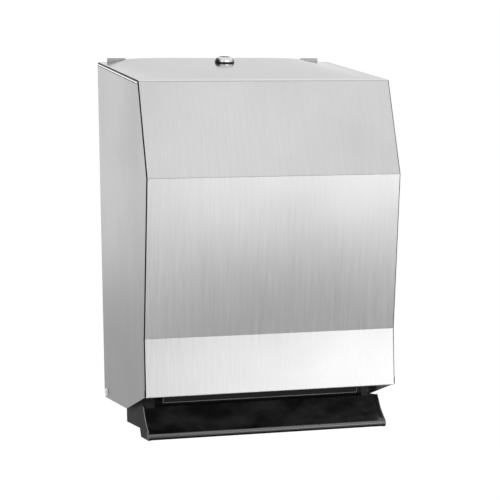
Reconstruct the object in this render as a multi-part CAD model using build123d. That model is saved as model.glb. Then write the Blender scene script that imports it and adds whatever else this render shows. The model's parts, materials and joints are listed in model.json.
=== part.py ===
from build123d import *
import math
import os

# Wall-mounted roll towel dispenser with a folded sheet cover and a push lever.
# Frame: the wall is the plane y = 0 and the front faces -Y. +Z is up.
# The origin is the centre of the four wall screws, on the wall.
# A place inside the case is given as (depth, drop): depth runs forward from the
# rear edge of the cover, drop runs down from the cover's top rear corner.

# Wall plate and its screws
screw_spacing_x = 180.0
screw_spacing_z = 254.0
wall_screw_hole_r = 2.8
plate_thickness = 1.5
plate_side_gap = 4.7
plate_top_drop = 3.0
plate_corner_r = 5.0
ear_side_gap = 11.9
ear_width = 21.2
ear_rise = 5.2
ear_corner_r = 1.0
wing_width = 16.0
wing_height = 24.6
bead_x = 45.0
bead_width = 16.0
bead_height = 2.5

# Cover outline
case_width = 275.0
wall_gap = 4.0
cover_top_z = 180.0
sheet = 0.8
bend_r = 1.6
top_depth = 195.8
top_fall = 31.0
brow_depth = 226.6
brow_drop = 131.1
band_depth = 200.0
band_drop = 296.3
wrap_drop = 356.3
keel_depth = 112.3
panel_skirt = 22.2
rear_chamfer_y = 5.0
rear_chamfer_z = 6.0
flange_width = 15.0
wrap_inset = 1.1
crown_rise = 4.4
crown_share = ((18.4, 0.2), (32.4, 0.68), (51.4, 0.955))
fold_land = 8.0
hem_height = 8.0
hem_end_gap = 2.0
relief_radii = (1.2, 1.2, 1.7)
flange_end_gap = 6.5

# Lock on the crowned top
lock_depth = 40.0
lock_head_r = 11.2
lock_head_height = 6.0
lock_head_edge = 1.2
lock_seat = 0.12
lock_face_r = 6.9
barrel_r = 9.4
barrel_length = 22.5
plug_r = 5.9
plug_recess = 0.4
key_slot_length = 8.0
key_slot_width = 1.6
key_slot_depth = 7.0
nut_flats = 24.0
nut_height = 4.0
washer_r = 14.0
lock_play = 0.1
cam_reach = 23.0
cam_width = 13.0
cam_thickness = 2.0
cam_hook = 6.0
cam_square = 5.0
cam_gap = 0.5
cam_screw_r = 1.5
cam_screw_head_r = 4.2
cam_screw_head = 2.2
cam_screw_length = 6.0
catch_width = 16.0
catch_sheet = 1.5
catch_overlap = 0.2
catch_shelf_gap = 10.0
catch_lip_height = 7.3
catch_foot_height = 15.5
catch_rivet_x = 4.5
catch_rivet_r = 1.6
catch_rivet_rise = 5.0
rivet_recess = 0.2

# Cover pivot
pivot_depth = 13.6
pivot_rise = 7.0
pivot_r = 2.5
pivot_head_r = 4.4
pivot_head_height = 2.2
pivot_lug_r = 6.6
pivot_washer_gap = 0.3
pivot_washer = 1.0
pivot_tail = 1.4

# Side frames
frame_side_gap = 18.7
frame_sheet = 2.0
frame_top_rise = 21.6
frame_flange = 13.0
frame_front_gap = 10.0
frame_bottom_fall = 36.0
frame_heel_depth = 26.0
frame_screw_r = 1.9
frame_screw_inset = (14.6, 21.0)
frame_screw_head = 1.6
lightening_r = 17.0
lightening_pitch = 47.0
small_screw_r = 1.5
small_screw_head = 1.4

# Lever pivot, gear pair and rollers
feed_setback = 26.818
feed_rise = 31.3
lever_rise = 63.0
lever_shaft_r = 4.0
gear_module = 1.25
sector_teeth = 118
sector_cut_teeth = 14
sector_lead_teeth = 2
pinion_teeth = 16
gear_width = 5.0
gear_side_gap = 1.5
backlash = 0.36
feed_r = 19.0
core_r = 15.0
core_end = 4.0
feed_shaft_r = 4.0
nip_gap = 0.4
pressure_r = 11.0
pressure_shaft_r = 3.0
sleeve_count = 4
sleeve_space = 24.0
sleeve_end_gap = 6.0
sleeve_edge = 0.8
bush_wall = 2.5
bush_flange = 1.5
bush_rim = 2.0
clutch_length = 6.0
running = 0.05
free_gap = 0.4
ring_width = 0.7
ring_rim = 2.2
groove_depth = 0.5
shaft_end = 0.8
tie_rod_r = 4.0
tie_rod_setback = 30.0
tie_rod_fall = 20.0

# Yoke of the pressure roller
yoke_setback = 14.782
yoke_rise = 37.0
yoke_side_gap = 1.1
yoke_sheet = 1.5
yoke_rod_r = 3.0
yoke_eye_r = 7.0
yoke_web_fall = 7.0
rod_head = 0.8
rod_head_rim = 2.0

# Push lever: its face is placed from the tear plate, its heel from its pivot
lever_side_gap = 5.2
lever_wall = 3.0
lever_face_wall = 2.5
lever_top_front = 3.0
lever_top_fall = 3.6
lever_bead_r = 4.1
lever_bead_run = (22.0, 27.7)
lever_face_run = (10.3, 13.6)
lever_foot_run = -10.0
lever_step_run = (-14.5, 23.4)
lever_heel_setback = 32.0
lever_heel_fall = 24.4
lever_heel_height = 44.2
lever_boss_r = 12.5
lever_notch_run = (-26.0, 1.6)
face_recess = 1.0
lever_rib_count = 6
lever_rib_width = 1.8
lever_rib_runs = ((16.5, 28.2), (16.5, 30.2), (-8.4, 30.2), (-12.0, 24.2), (0.5, 2.9))
lever_pad_r = 4.0
sector_screw_runs = ((2.5, 21.0), (7.5, 41.0))

# Tear plate, blade and paper guide
tear_side_gap = 7.7
tear_nip_gap = 5.018
tear_plate_sheet = 1.5
tear_plate_fall = 11.9
tear_plate_height = 17.2
tear_flare = (4.5, 5.0)
tear_end_rise = 10.2
tear_tab_length = 17.0
tear_tab_fall = 3.5
tear_screw_run = (12.0, -18.7)
blade_sheet = 0.8
blade_proud = 1.1
blade_height = 17.3
blade_rivet_r = 1.3
blade_rivet_rise = 11.2
blade_rivet_end_gap = 20.3
tooth_pitch = 3.2
tooth_height = 1.9
guide_sheet = 1.6
bend_inner_r = 2.0
guide_nip_gap = 4.482
guide_foot_length = 45.5
guide_top_fall = 25.5
guide_height = 23.8
guide_screw_run = (-37.5, 5.1)
finger_width = 20.0
finger_top_fall = 9.5

# Roll arms and core hubs
roll_depth = 113.0
roll_drop = 128.0
arm_hinge_offset = 3.0
arm_hinge_rise = 4.4
arm_pin_r = 1.5
arm_pin_head = 1.2
knuckle_r = 3.0
knuckle_length = 9.0
knuckle_gap = 0.4
arm_half_foot = 25.0
arm_top_r = 20.0
arm_hole_r = 9.0
arm_hole_fall = 55.0
arm_rim = 4.0
arm_rim_sheet = 1.5
hub_side_gap = 0.5
hub_flange_r = 25.0
hub_plug_r = 18.5
hub_plug_length = 6.0
hub_nose_length = 3.5
hub_nose_taper = 3.5
hub_wall = 2.3
hub_pin_r = 3.0

# Springs
arm_wire_r = 0.6
arm_coil_r = 3.2
arm_coil_turns = 4
arm_coil_pitch = 2.0
arm_leg = 12.0
yoke_wire_r = 0.7
yoke_coil_r = 4.6
yoke_coil_turns = 3
yoke_coil_pitch = 2.1
yoke_leg = 15.0
yoke_post_rise = 13.0
yoke_post_length = 9.0
pull_wire_r = 0.7
pull_coil_r = 3.0
pull_coil_turns = 9
pull_coil_pitch = 3.5
pull_lead = 5.0
pull_side_gap = 4.3
pull_post_setback = 12.0
pull_post_rise = 22.0
pull_lever_fall = 45.0
pull_hook_gap = 0.15
post_r = 1.5
post_end = 2.6

# Places across the case, worked out from the sizes above
half_case = case_width / 2
panel_inner_x = half_case - sheet
plate_half_width = panel_inner_x - plate_side_gap
ear_x = half_case - ear_side_gap - ear_width / 2
lug_outer_x = panel_inner_x - pivot_washer_gap - pivot_washer - pivot_washer_gap
lug_inner_x = lug_outer_x - plate_thickness
frame_inner_x = panel_inner_x - frame_side_gap
frame_outer_x = frame_inner_x + frame_sheet
frame_screw_x = frame_outer_x + frame_flange / 2
gear_inner_x = frame_outer_x + gear_side_gap
gear_outer_x = gear_inner_x + gear_width
sleeve_pitch = 2 * (frame_inner_x - sleeve_end_gap) / sleeve_count
sleeve_width = sleeve_pitch - sleeve_space
yoke_inner_x = frame_inner_x - yoke_side_gap - yoke_sheet
lever_half_width = panel_inner_x - lever_side_gap
lever_arm_inner_x = lever_half_width - lever_wall
tear_half_width = frame_inner_x - tear_side_gap
blade_rivet_xs = (blade_rivet_end_gap - tear_half_width, 0.0, tear_half_width - blade_rivet_end_gap)
arm_hinge_x = frame_inner_x + arm_hinge_offset
hub_flange_x = frame_inner_x - hub_side_gap - hub_wall
hub_tube_x = hub_flange_x - hub_plug_length + 0.4
pull_x = frame_outer_x + pull_side_gap

# Depths and drops, worked out from the cover's front and its lower edge
plate_front_depth = plate_thickness - wall_gap
panel_drop = wrap_drop + panel_skirt
pivot_drop = panel_drop - pivot_rise
plate_bottom_drop = pivot_drop - 5.5
catch_reach = lock_depth - cam_reach + catch_overlap
catch_shelf_drop = barrel_length + catch_shelf_gap
catch_lip_drop = catch_shelf_drop - catch_lip_height
catch_foot_drop = catch_shelf_drop + catch_foot_height
catch_rivet_drop = catch_foot_drop - catch_rivet_rise
feed_depth = band_depth - feed_setback
feed_drop = wrap_drop - feed_rise
feed_bush_r = feed_shaft_r + bush_wall
centre_distance = gear_module * (sector_teeth + pinion_teeth) / 2
lever_drop = feed_drop - lever_rise
lever_depth = feed_depth - math.sqrt(centre_distance ** 2 - lever_rise ** 2)
bush_r = lever_shaft_r + bush_wall
pressure_depth = feed_depth - feed_r - nip_gap - pressure_r
nip_depth = pressure_depth + pressure_r + nip_gap / 2
yoke_depth = pressure_depth - yoke_setback
yoke_drop = feed_drop - yoke_rise
yoke_post = (yoke_depth - yoke_coil_r + yoke_wire_r + post_r + running, yoke_drop - yoke_post_rise)
frame_top_drop = lever_drop - frame_top_rise
frame_bottom_drop = feed_drop + frame_bottom_fall
frame_front_depth = band_depth - frame_front_gap
frame_screw_drops = (frame_top_drop + frame_screw_inset[0], frame_bottom_drop - frame_screw_inset[1])
lightening_places = [(lever_depth - 4 * lightening_r, feed_drop - 3.0 - i * lightening_pitch) for i in (0, 1)]
tie_rod_place = (lever_depth - tie_rod_setback, feed_drop + tie_rod_fall)
pull_post = (frame_front_depth - pull_post_setback, feed_drop - pull_post_rise)
tear_plate_depth = nip_depth + tear_nip_gap
tear_plate_bottom = wrap_drop + tear_plate_fall
blade_tip_drop = tear_plate_bottom + blade_proud
blade_top_drop = blade_tip_drop - blade_height
blade_rivet_drop = tear_plate_bottom - blade_rivet_rise
tear_screw_places = [(tear_plate_depth + tear_screw_run[0], tear_plate_bottom + tear_screw_run[1])]
guide_depth = nip_depth - guide_nip_gap
guide_top_drop = feed_drop + guide_top_fall
guide_screw_places = [(guide_depth + guide_screw_run[0], guide_top_drop + guide_screw_run[1])]
sector_screw_places = [(lever_depth + run, lever_drop + fall) for run, fall in sector_screw_runs]
lever_top = (tear_plate_depth + lever_top_front, tear_plate_bottom + lever_top_fall)
lever_bead = (lever_top[0] + lever_bead_run[0], lever_top[1] + lever_bead_run[1])
lever_face_middle = (lever_top[0] + lever_face_run[0], lever_top[1] + lever_face_run[1])
lever_foot_depth = lever_top[0] + lever_foot_run
lever_step = (lever_top[0] + lever_step_run[0], lever_top[1] + lever_step_run[1])
lever_heel = (lever_depth - lever_heel_setback, lever_top[1] + lever_heel_fall)
lever_heel_top = (lever_heel[0], lever_heel[1] - lever_heel_height)
arm_hinge_drop = frame_top_drop - arm_hinge_rise


def at(depth, drop):
    # y and z of a place inside the case
    return (-(wall_gap + depth), cover_top_z - drop)


def slab(sketch, x_from, x_to):
    # a solid of one side-view outline between two planes across the case
    return extrude(Plane.YZ.offset(x_from) * sketch, x_to - x_from, dir=(1, 0, 0))


def disc(place, radius, x_from, x_to):
    # a cylinder along X at a (depth, drop) place
    return slab(Pos(*at(*place)) * Circle(radius), x_from, x_to)


def outline(*places):
    # a closed straight-sided outline through (depth, drop) places
    return make_face(Polyline(*[at(*place) for place in places], close=True))


def sheet_section(places, thickness, radius, side=Side.LEFT):
    # the section of a bent sheet whose one face runs through the places
    run = FilletPolyline(*[at(*place) for place in places], radius=radius)
    return Face(Wire(run.edges()).offset_2d(thickness, side=side, closed=True))


def both_sides(shape):
    # the shape and its mirror image across the middle of the case
    return Compound([*shape.solids(), *mirror(shape, about=Plane.YZ).solids()])


def save(shape, name):
    export_step(shape, f"parts/{name}.step")


def save_pair(shape, name):
    # the shape is built on the right, at +X
    save(shape, f"right_{name}")
    save(mirror(shape, about=Plane.YZ), f"left_{name}")


def along(start, end, distance):
    # the point at a distance from start towards end
    length = math.dist(start, end)
    return tuple(a + (b - a) * distance / length for a, b in zip(start, end))


def front_places(inset=0.0):
    # the cover's folded front, from the top rear edge to the bottom front edge
    places = [(0.0, 0.0), (top_depth, top_fall), (brow_depth, brow_drop),
              (band_depth, band_drop), (band_depth, wrap_drop)]
    if inset == 0.0:
        return places
    moved = []
    for i, place in enumerate(places):
        normals = []
        if i > 0:
            normals.append(edge_normal(places[i - 1], place))
        if i < len(places) - 1:
            normals.append(edge_normal(place, places[i + 1]))
        if len(normals) == 1:
            n = normals[0]
            moved.append((place[0] + n[0] * inset, place[1] + n[1] * inset))
            continue
        a, b = normals
        share = inset / (1 + a[0] * b[0] + a[1] * b[1])
        moved.append((place[0] + (a[0] + b[0]) * share, place[1] + (a[1] + b[1]) * share))
    return moved


def edge_normal(start, end):
    # unit normal of an edge of the front, pointing into the case
    length = math.dist(start, end)
    run = ((end[0] - start[0]) / length, (end[1] - start[1]) / length)
    return (-run[1], run[0])


def top_slope():
    return math.atan2(top_fall, top_depth)


def section_plane(depth, drop, tilt):
    # a plane across the top: x along the case, y along the normal of the sheet
    y, z = at(depth, drop)
    return Plane(origin=(0, y, z), x_dir=(1, 0, 0), z_dir=(0, -math.cos(tilt), -math.sin(tilt)))


def lock_plane():
    # on the outside of the crowned top at the lock: y rearwards along the top, z outwards
    slope = top_slope()
    rear = (crown_rise * math.sin(slope), -crown_rise * math.cos(slope))
    join = along((top_depth, top_fall), (0.0, 0.0), fold_land)
    tilt = math.atan2(join[1] - rear[1], join[0] - rear[0])
    share = (lock_depth - rear[0]) / (join[0] - rear[0])
    drop = rear[1] + (join[1] - rear[1]) * share
    y, z = at(lock_depth + sheet * math.sin(tilt), drop - sheet * math.cos(tilt))
    return Plane(origin=(0, y, z), x_dir=(1, 0, 0), z_dir=(0, -math.sin(tilt), math.cos(tilt)))


def wall_plate():
    top_z = cover_top_z - plate_top_drop
    bottom_z = cover_top_z - plate_bottom_drop
    height = top_z - bottom_z
    face = Pos(0, (top_z + bottom_z) / 2) * RectangleRounded(2 * plate_half_width, height, plate_corner_r)
    ear_height = ear_rise + plate_top_drop + plate_corner_r
    ear_z = top_z + (ear_rise + plate_top_drop - plate_corner_r) / 2
    wing_z = cover_top_z - pivot_drop - pivot_lug_r + wing_height / 2
    for side in (-1, 1):
        face += Pos(side * ear_x, ear_z) * RectangleRounded(ear_width, ear_height, ear_corner_r)
        face += Pos(side * (lug_outer_x - wing_width / 2), wing_z) * Rectangle(wing_width, wing_height)
    # the drawing plane looks from the front, so its x is the case's x
    drawing = Plane(origin=(0, 0, 0), x_dir=(1, 0, 0), z_dir=(0, -1, 0))
    body = extrude(drawing * face, plate_thickness)
    wall = 2 * plate_thickness
    for side in (-1, 1):
        bead = Pos(side * bead_x, 0) * SlotOverall(screw_spacing_z, bead_width, rotation=90)
        hollow = Pos(side * bead_x, 0) * SlotOverall(screw_spacing_z - wall, bead_width - wall, rotation=90)
        body += extrude(drawing * bead, plate_thickness + bead_height)
        body -= extrude(drawing * hollow, bead_height)
        lug = outline((plate_front_depth, pivot_drop - pivot_lug_r), (pivot_depth, pivot_drop - pivot_lug_r),
                      (pivot_depth, pivot_drop + pivot_lug_r), (plate_front_depth, pivot_drop + pivot_lug_r))
        lug += Pos(*at(pivot_depth, pivot_drop)) * Circle(pivot_lug_r)
        lug -= Pos(*at(pivot_depth, pivot_drop)) * Circle(pivot_r)
        tab = slab(lug, lug_inner_x, lug_outer_x)
        body += tab if side > 0 else mirror(tab, about=Plane.YZ)
    for side in (-1, 1):
        holes = [(screw_spacing_x / 2, end * screw_spacing_z / 2, wall_screw_hole_r) for end in (-1, 1)]
        holes += [(frame_screw_x, cover_top_z - drop, frame_screw_r) for drop in frame_screw_drops]
        holes.append((catch_rivet_x, cover_top_z - catch_rivet_drop, catch_rivet_r))
        for x, z, radius in holes:
            body -= extrude(drawing * Pos(side * x, z) * Circle(radius), plate_thickness)
    return body


def lock_catch():
    foot = plate_front_depth + catch_sheet
    places = [(plate_front_depth, catch_foot_drop), (plate_front_depth, catch_shelf_drop),
              (catch_reach, catch_shelf_drop), (catch_reach, catch_lip_drop)]
    section = sheet_section(places, catch_sheet, 1.0, Side.LEFT)
    body = slab(section, -catch_width / 2, catch_width / 2)
    for side in (-1, 1):
        body -= along_y(side * catch_rivet_x, catch_rivet_drop, catch_rivet_r, plate_front_depth, foot)
    return body


def along_y(x, drop, radius, depth_from, depth_to):
    # a cylinder along Y between two depths
    plane = Plane(origin=(x, -(wall_gap + depth_from), cover_top_z - drop), x_dir=(1, 0, 0), z_dir=(0, -1, 0))
    return extrude(plane * Circle(radius), depth_to - depth_from)


def catch_rivets():
    shapes = []
    rear = rivet_recess - wall_gap
    front = plate_front_depth + catch_sheet
    for side in (-1, 1):
        rivet = along_y(side * catch_rivet_x, catch_rivet_drop, catch_rivet_r, rear, front)
        rivet += along_y(side * catch_rivet_x, catch_rivet_drop, catch_rivet_r * 1.8, front, front + 1.2)
        shapes.append(rivet.solid())
    return Compound(shapes)


def cover_wrap():
    # the folded front, with a closed hem along the bottom edge
    places = front_places()
    places[0] = along(places[1], places[0], fold_land)
    section = sheet_section(places, sheet, bend_r, Side.RIGHT)
    half = half_case - wrap_inset
    body = slab(section, -half, half) + crowned_top(half)
    hem = outline((band_depth, wrap_drop), (band_depth - sheet, wrap_drop),
                  (band_depth - sheet, wrap_drop - hem_height), (band_depth, wrap_drop - hem_height))
    hem_half = half_case - flange_width - hem_end_gap
    body += slab(hem, -hem_half, hem_half)
    body += disc((band_depth, wrap_drop), sheet, -half, half)
    body -= extrude(lock_plane() * Circle(barrel_r + running), 2 * lock_head_height, both=True)
    return body


def crowned_top(half):
    # the top sheet, straight at its front fold and crowned at its rear edge
    slope = top_slope()
    join = along((top_depth, top_fall), (0.0, 0.0), fold_land)
    sections = []
    for place, rise in ((join, 0.0), ((0.0, 0.0), crown_rise)):
        right = [(half - inset, rise * share) for inset, share in crown_share]
        left = [(-x, h) for x, h in right]
        points = [(-half, 0.0)] + left + [(0.0, rise)] + right[::-1] + [(half, 0.0)]
        upper = [(x, h + sheet) for x, h in points]
        if rise:
            edges = [Spline(*points), Spline(*upper)]
        else:
            edges = [Line(points[0], points[-1]), Line(upper[0], upper[-1])]
        edges += [Line(points[0], upper[0]), Line(points[-1], upper[-1])]
        sections.append(section_plane(*place, slope) * face_of(edges))
    return loft(sections, ruled=True)


def face_of(lines):
    # a face bounded by drawn lines and arcs
    return make_face([edge for line in lines for edge in line.edges()])


def fold_edges(body, places, x):
    # the long edges of a pan at one x, found by their middles
    found = []
    for start, end in zip(places, places[1:]):
        middle = Vector(x, *at((start[0] + end[0]) / 2, (start[1] + end[1]) / 2))
        found += [edge for edge in body.edges() if (edge.center() - middle).length < 0.5]
    return found


def side_panel():
    # a pan: flat side, flanges turned in along the folded front, open at the rear and below
    front = front_places()
    tail = [(keel_depth, panel_drop), (rear_chamfer_y, panel_drop), (0.0, panel_drop - rear_chamfer_z)]
    below = panel_drop + 20.0
    body = slab(outline(*front, *tail), half_case - flange_width, half_case)
    body = fillet(fold_edges(body, front, half_case), bend_r)
    inner = front_places(inset=sheet)
    inner[0] = along(inner[0], inner[1], -5.0)
    inner[-1] = (inner[-1][0], below)
    hollow = slab(outline(*inner, (-5.0, below)), half_case - 2 * flange_width, panel_inner_x)
    hollow = fillet(fold_edges(hollow, inner, panel_inner_x), bend_r - sheet)
    body -= hollow
    # relief cuts where two flanges meet, and the flange stops short of the bottom corner
    for corner, radius in zip(front[1:4], relief_radii):
        body -= disc(corner, radius, half_case - 2 * flange_width, half_case + 1.0)
    cut_top = wrap_drop - flange_end_gap
    cut_rear = band_depth - 2 * bend_r
    cut_front = band_depth + 2.0
    corner = outline((cut_rear, cut_top), (cut_front, cut_top),
                     (cut_front, panel_drop), (cut_rear, panel_drop))
    body -= slab(corner, half_case - 2 * flange_width, panel_inner_x)
    body -= disc((pivot_depth, pivot_drop), pivot_r + running, half_case - 5.0, half_case + 5.0)
    return body


def pivot_rivets():
    place = (pivot_depth, pivot_drop)
    rivet = disc(place, pivot_r, lug_inner_x, half_case + pivot_washer_gap)
    rivet += disc(place, pivot_head_r - 0.6, lug_inner_x - pivot_tail, lug_inner_x)
    y, z = at(*place)
    base_x = half_case + pivot_washer_gap
    shoulder = (pivot_head_r * 0.72, pivot_head_height * 0.68)
    profile = face_of([Line((0, 0), (0, pivot_head_height)),
                       ThreePointArc((0, pivot_head_height), shoulder, (pivot_head_r, 0)),
                       Line((pivot_head_r, 0), (0, 0))])
    radial = Plane(origin=(base_x, y, z), x_dir=(0, 1, 0), z_dir=(0, 0, -1))
    head = revolve(radial * profile, Axis((base_x, y, z), (1, 0, 0)))
    return both_sides(rivet + head)


def pivot_washers():
    place = (pivot_depth, pivot_drop)
    ring = disc(place, pivot_lug_r - 0.4, lug_outer_x, panel_inner_x - pivot_washer_gap)
    ring -= disc(place, pivot_r, lug_outer_x - 1, panel_inner_x)
    return both_sides(ring)


def lock_barrel():
    plane = lock_plane()
    body = extrude(plane.offset(-barrel_length) * Circle(barrel_r), barrel_length + 1.0)
    rim = (lock_head_r, lock_head_edge)
    shoulder = (lock_head_r * 0.86, lock_head_height * 0.68)
    face_edge = (lock_face_r, lock_head_height)
    profile = face_of([Line((0, lock_seat), (lock_head_r, lock_seat)), Line((lock_head_r, lock_seat), rim),
                       ThreePointArc(rim, shoulder, face_edge), Line(face_edge, (0, lock_head_height)),
                       Line((0, lock_head_height), (0, lock_seat))])
    standing = Plane(origin=plane.origin, x_dir=plane.x_dir, z_dir=-plane.y_dir)
    body += revolve(standing * profile, Axis(plane.origin, plane.z_dir))
    bore = Circle(plug_r + running)
    body -= extrude(plane.offset(-barrel_length - 1) * bore, barrel_length + lock_head_height + 2)
    return body


def lock_plug():
    plane = lock_plane()
    top = lock_head_height - plug_recess
    body = extrude(plane.offset(-barrel_length) * Circle(plug_r), barrel_length + top)
    body += extrude(cam_plane() * Rectangle(cam_square, cam_square), cam_thickness + cam_gap)
    key_slot = SlotOverall(key_slot_length, key_slot_width)
    body -= extrude(plane.offset(top - key_slot_depth) * key_slot, key_slot_depth)
    body -= extrude(cam_plane() * Circle(cam_screw_r), cam_screw_length)
    return body


def cam_plane():
    # the underside of the cam, square to the lock's axis
    return lock_plane().offset(-barrel_length - cam_gap - cam_thickness)


def lock_cam():
    # flat arm with a turned-down hook; unlocked, it points along +X
    plane = cam_plane()
    arm = Circle(cam_width / 2) + Pos(cam_reach / 2, 0) * Rectangle(cam_reach, cam_width)
    body = extrude(plane * arm, cam_thickness)
    hook = Pos(cam_reach - cam_thickness / 2, 0) * Rectangle(cam_thickness, cam_width)
    body += extrude(plane * hook, -cam_hook)
    body -= extrude(plane.offset(-1) * Rectangle(cam_square, cam_square), cam_thickness + 2)
    return body


def cam_screw():
    plane = cam_plane()
    body = extrude(plane * Circle(cam_screw_head_r), -cam_screw_head)
    body += extrude(plane * Circle(cam_screw_r), cam_screw_length)
    body -= extrude(plane.offset(-cam_screw_head) * Rectangle(1.5 * cam_screw_head_r, 1.0), 1.0)
    return body


def lock_washer():
    plane = lock_plane().offset(-sheet - lock_play)
    return extrude(plane * (Circle(washer_r) - Circle(barrel_r + running)), -sheet)


def lock_nut():
    plane = lock_plane().offset(-2 * sheet - lock_play)
    hexagon = RegularPolygon(nut_flats / 2, 6, major_radius=False)
    return extrude(plane * (hexagon - Circle(barrel_r + running)), -nut_height)


def side_frame():
    # flat plate with a screwed rear flange, bearing holes and knuckles for the roll arm
    rear = plate_front_depth
    flange_bottom = frame_bottom_drop - 11.0
    plate = outline((rear, frame_top_drop), (roll_depth + arm_half_foot + 4.0, frame_top_drop),
                    (frame_front_depth, feed_drop - 49.0), (frame_front_depth, feed_drop + 15.0),
                    (frame_front_depth - 20.0, frame_bottom_drop), (frame_heel_depth, frame_bottom_drop),
                    (rear, flange_bottom))
    holes = [((lever_depth, lever_drop), lever_shaft_r), ((feed_depth, feed_drop), feed_bush_r),
             ((yoke_depth, yoke_drop), yoke_rod_r), (tie_rod_place, tie_rod_r)]
    holes += [(place, lightening_r) for place in lightening_places]
    holes += [(place, post_r) for place in (pull_post, yoke_post)]
    holes += [(place, small_screw_r) for place in tear_screw_places + guide_screw_places]
    for place, radius in holes:
        plate -= Pos(*at(*place)) * Circle(radius)
    body = slab(plate, frame_inner_x, frame_outer_x)
    flange = outline((rear, frame_top_drop), (rear + frame_sheet, frame_top_drop),
                     (rear + frame_sheet, flange_bottom), (rear, flange_bottom))
    body += slab(flange, frame_outer_x, frame_outer_x + frame_flange)
    for drop in frame_screw_drops:
        body -= along_y(frame_screw_x, drop, frame_screw_r, rear - 1, rear + frame_sheet + 1)
    for start in frame_knuckle_depths():
        body += knuckle(start, frame_top_drop + 3)
        body -= along_y(arm_hinge_x, arm_hinge_drop, arm_pin_r, start - 1, start + knuckle_length + 1)
    return body


def arm_hinge_depths():
    # the four knuckles fill the hinge from its ends, with the spring in the middle
    half = arm_half_foot
    return roll_depth - half, roll_depth + half


def frame_knuckle_depths():
    low, high = arm_hinge_depths()
    return low, high - knuckle_length


def arm_knuckle_depths():
    low, high = arm_hinge_depths()
    return low + knuckle_length + knuckle_gap, high - 2 * knuckle_length - knuckle_gap


def knuckle(start, joined_drop):
    # a rolled eye on the hinge line, tied to the plate below or above it
    eye = along_y(arm_hinge_x, arm_hinge_drop, knuckle_r, start, start + knuckle_length)
    z_from, z_to = sorted((cover_top_z - arm_hinge_drop, cover_top_z - joined_drop))
    plane = Plane(origin=(0, -(wall_gap + start), 0), x_dir=(1, 0, 0), z_dir=(0, -1, 0))
    middle = Pos((frame_inner_x + frame_outer_x) / 2, (z_from + z_to) / 2)
    web = middle * Rectangle(frame_sheet, z_to - z_from)
    return eye + extrude(plane * web, knuckle_length)


def roll_arm():
    # tapering arm with turned-out rims and two knuckles
    foot_drop = 2 * arm_hinge_drop - frame_top_drop
    low, high = arm_hinge_depths()
    body_outline = outline((low, foot_drop), (high, foot_drop),
                           (roll_depth + arm_top_r, roll_drop), (roll_depth - arm_top_r, roll_drop))
    body_outline += Pos(*at(roll_depth, roll_drop)) * Circle(arm_top_r)
    body_outline -= Pos(*at(roll_depth, roll_drop + arm_hole_fall)) * Circle(arm_hole_r)
    body_outline -= Pos(*at(roll_depth, roll_drop)) * Circle(hub_pin_r)
    body = slab(body_outline, frame_inner_x, frame_outer_x)
    for sign in (-1, 1):
        foot = (roll_depth + sign * arm_half_foot, foot_drop)
        head = (roll_depth + sign * arm_top_r, roll_drop)
        inner = sign * arm_rim_sheet
        rim = outline(foot, head, (head[0] - inner, head[1]), (foot[0] - inner, foot[1]))
        body += slab(rim, frame_outer_x, frame_outer_x + arm_rim)
    for start in arm_knuckle_depths():
        body += knuckle(start, foot_drop - 1)
        end = start + knuckle_length
        body -= along_y(arm_hinge_x, arm_hinge_drop, arm_pin_r + running, start - 1, end + 1)
    return body


def arm_hinge_pins():
    low, high = arm_hinge_depths()
    pin = along_y(arm_hinge_x, arm_hinge_drop, arm_pin_r, low, high)
    for depth in (low - arm_pin_head, high):
        pin += along_y(arm_hinge_x, arm_hinge_drop, arm_pin_r + 1.0, depth, depth + arm_pin_head)
    return both_sides(pin)


def hub_pin():
    place = (roll_depth, roll_drop)
    body = disc(place, hub_pin_r, hub_tube_x - free_gap, frame_outer_x)
    body += disc(place, hub_pin_r + 2.5, frame_outer_x, frame_outer_x + 1.6)
    body += disc(place, hub_pin_r + 2.0, hub_tube_x - free_gap - 1.5, hub_tube_x - free_gap)
    return body


def core_hub():
    # a hollow plug for the roll's core, with a stop flange beside the arm
    y, z = at(roll_depth, roll_drop)
    outer = hub_flange_x + hub_wall
    nose = hub_flange_x - hub_plug_length - hub_nose_length
    # the profile plane has its x along the radius and its y along the axle
    plug_end = hub_flange_x - hub_plug_length
    tube_r = hub_pin_r + hub_wall + 1.1
    points = [(hub_pin_r + running, outer), (hub_flange_r, outer), (hub_flange_r, hub_flange_x),
              (hub_plug_r, hub_flange_x), (hub_plug_r, plug_end), (hub_plug_r - hub_nose_taper, nose),
              (hub_plug_r - hub_nose_taper - 2.0, nose), (hub_plug_r - hub_wall, plug_end + 1),
              (hub_plug_r - hub_wall, hub_flange_x), (tube_r, hub_flange_x), (tube_r, hub_tube_x),
              (hub_pin_r + running, hub_tube_x)]
    plane = Plane(origin=(0, y, z), x_dir=(0, 1, 0), z_dir=(0, 0, -1))
    profile = plane * make_face(Polyline(*points, close=True))
    return revolve(profile, Axis((0, y, z), (1, 0, 0)))


def involute(angle):
    return math.tan(angle) - angle


def tooth_half_angle(teeth, radius):
    # half the angle that a tooth spans at a radius
    pitch_r = gear_module * teeth / 2
    pressure = math.radians(20)
    base_r = pitch_r * math.cos(pressure)
    half_pitch = (math.pi * gear_module / 2 - backlash / 2) / 2 / pitch_r
    here = math.acos(min(1.0, base_r / max(radius, base_r)))
    return half_pitch + involute(pressure) - involute(here)


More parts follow.
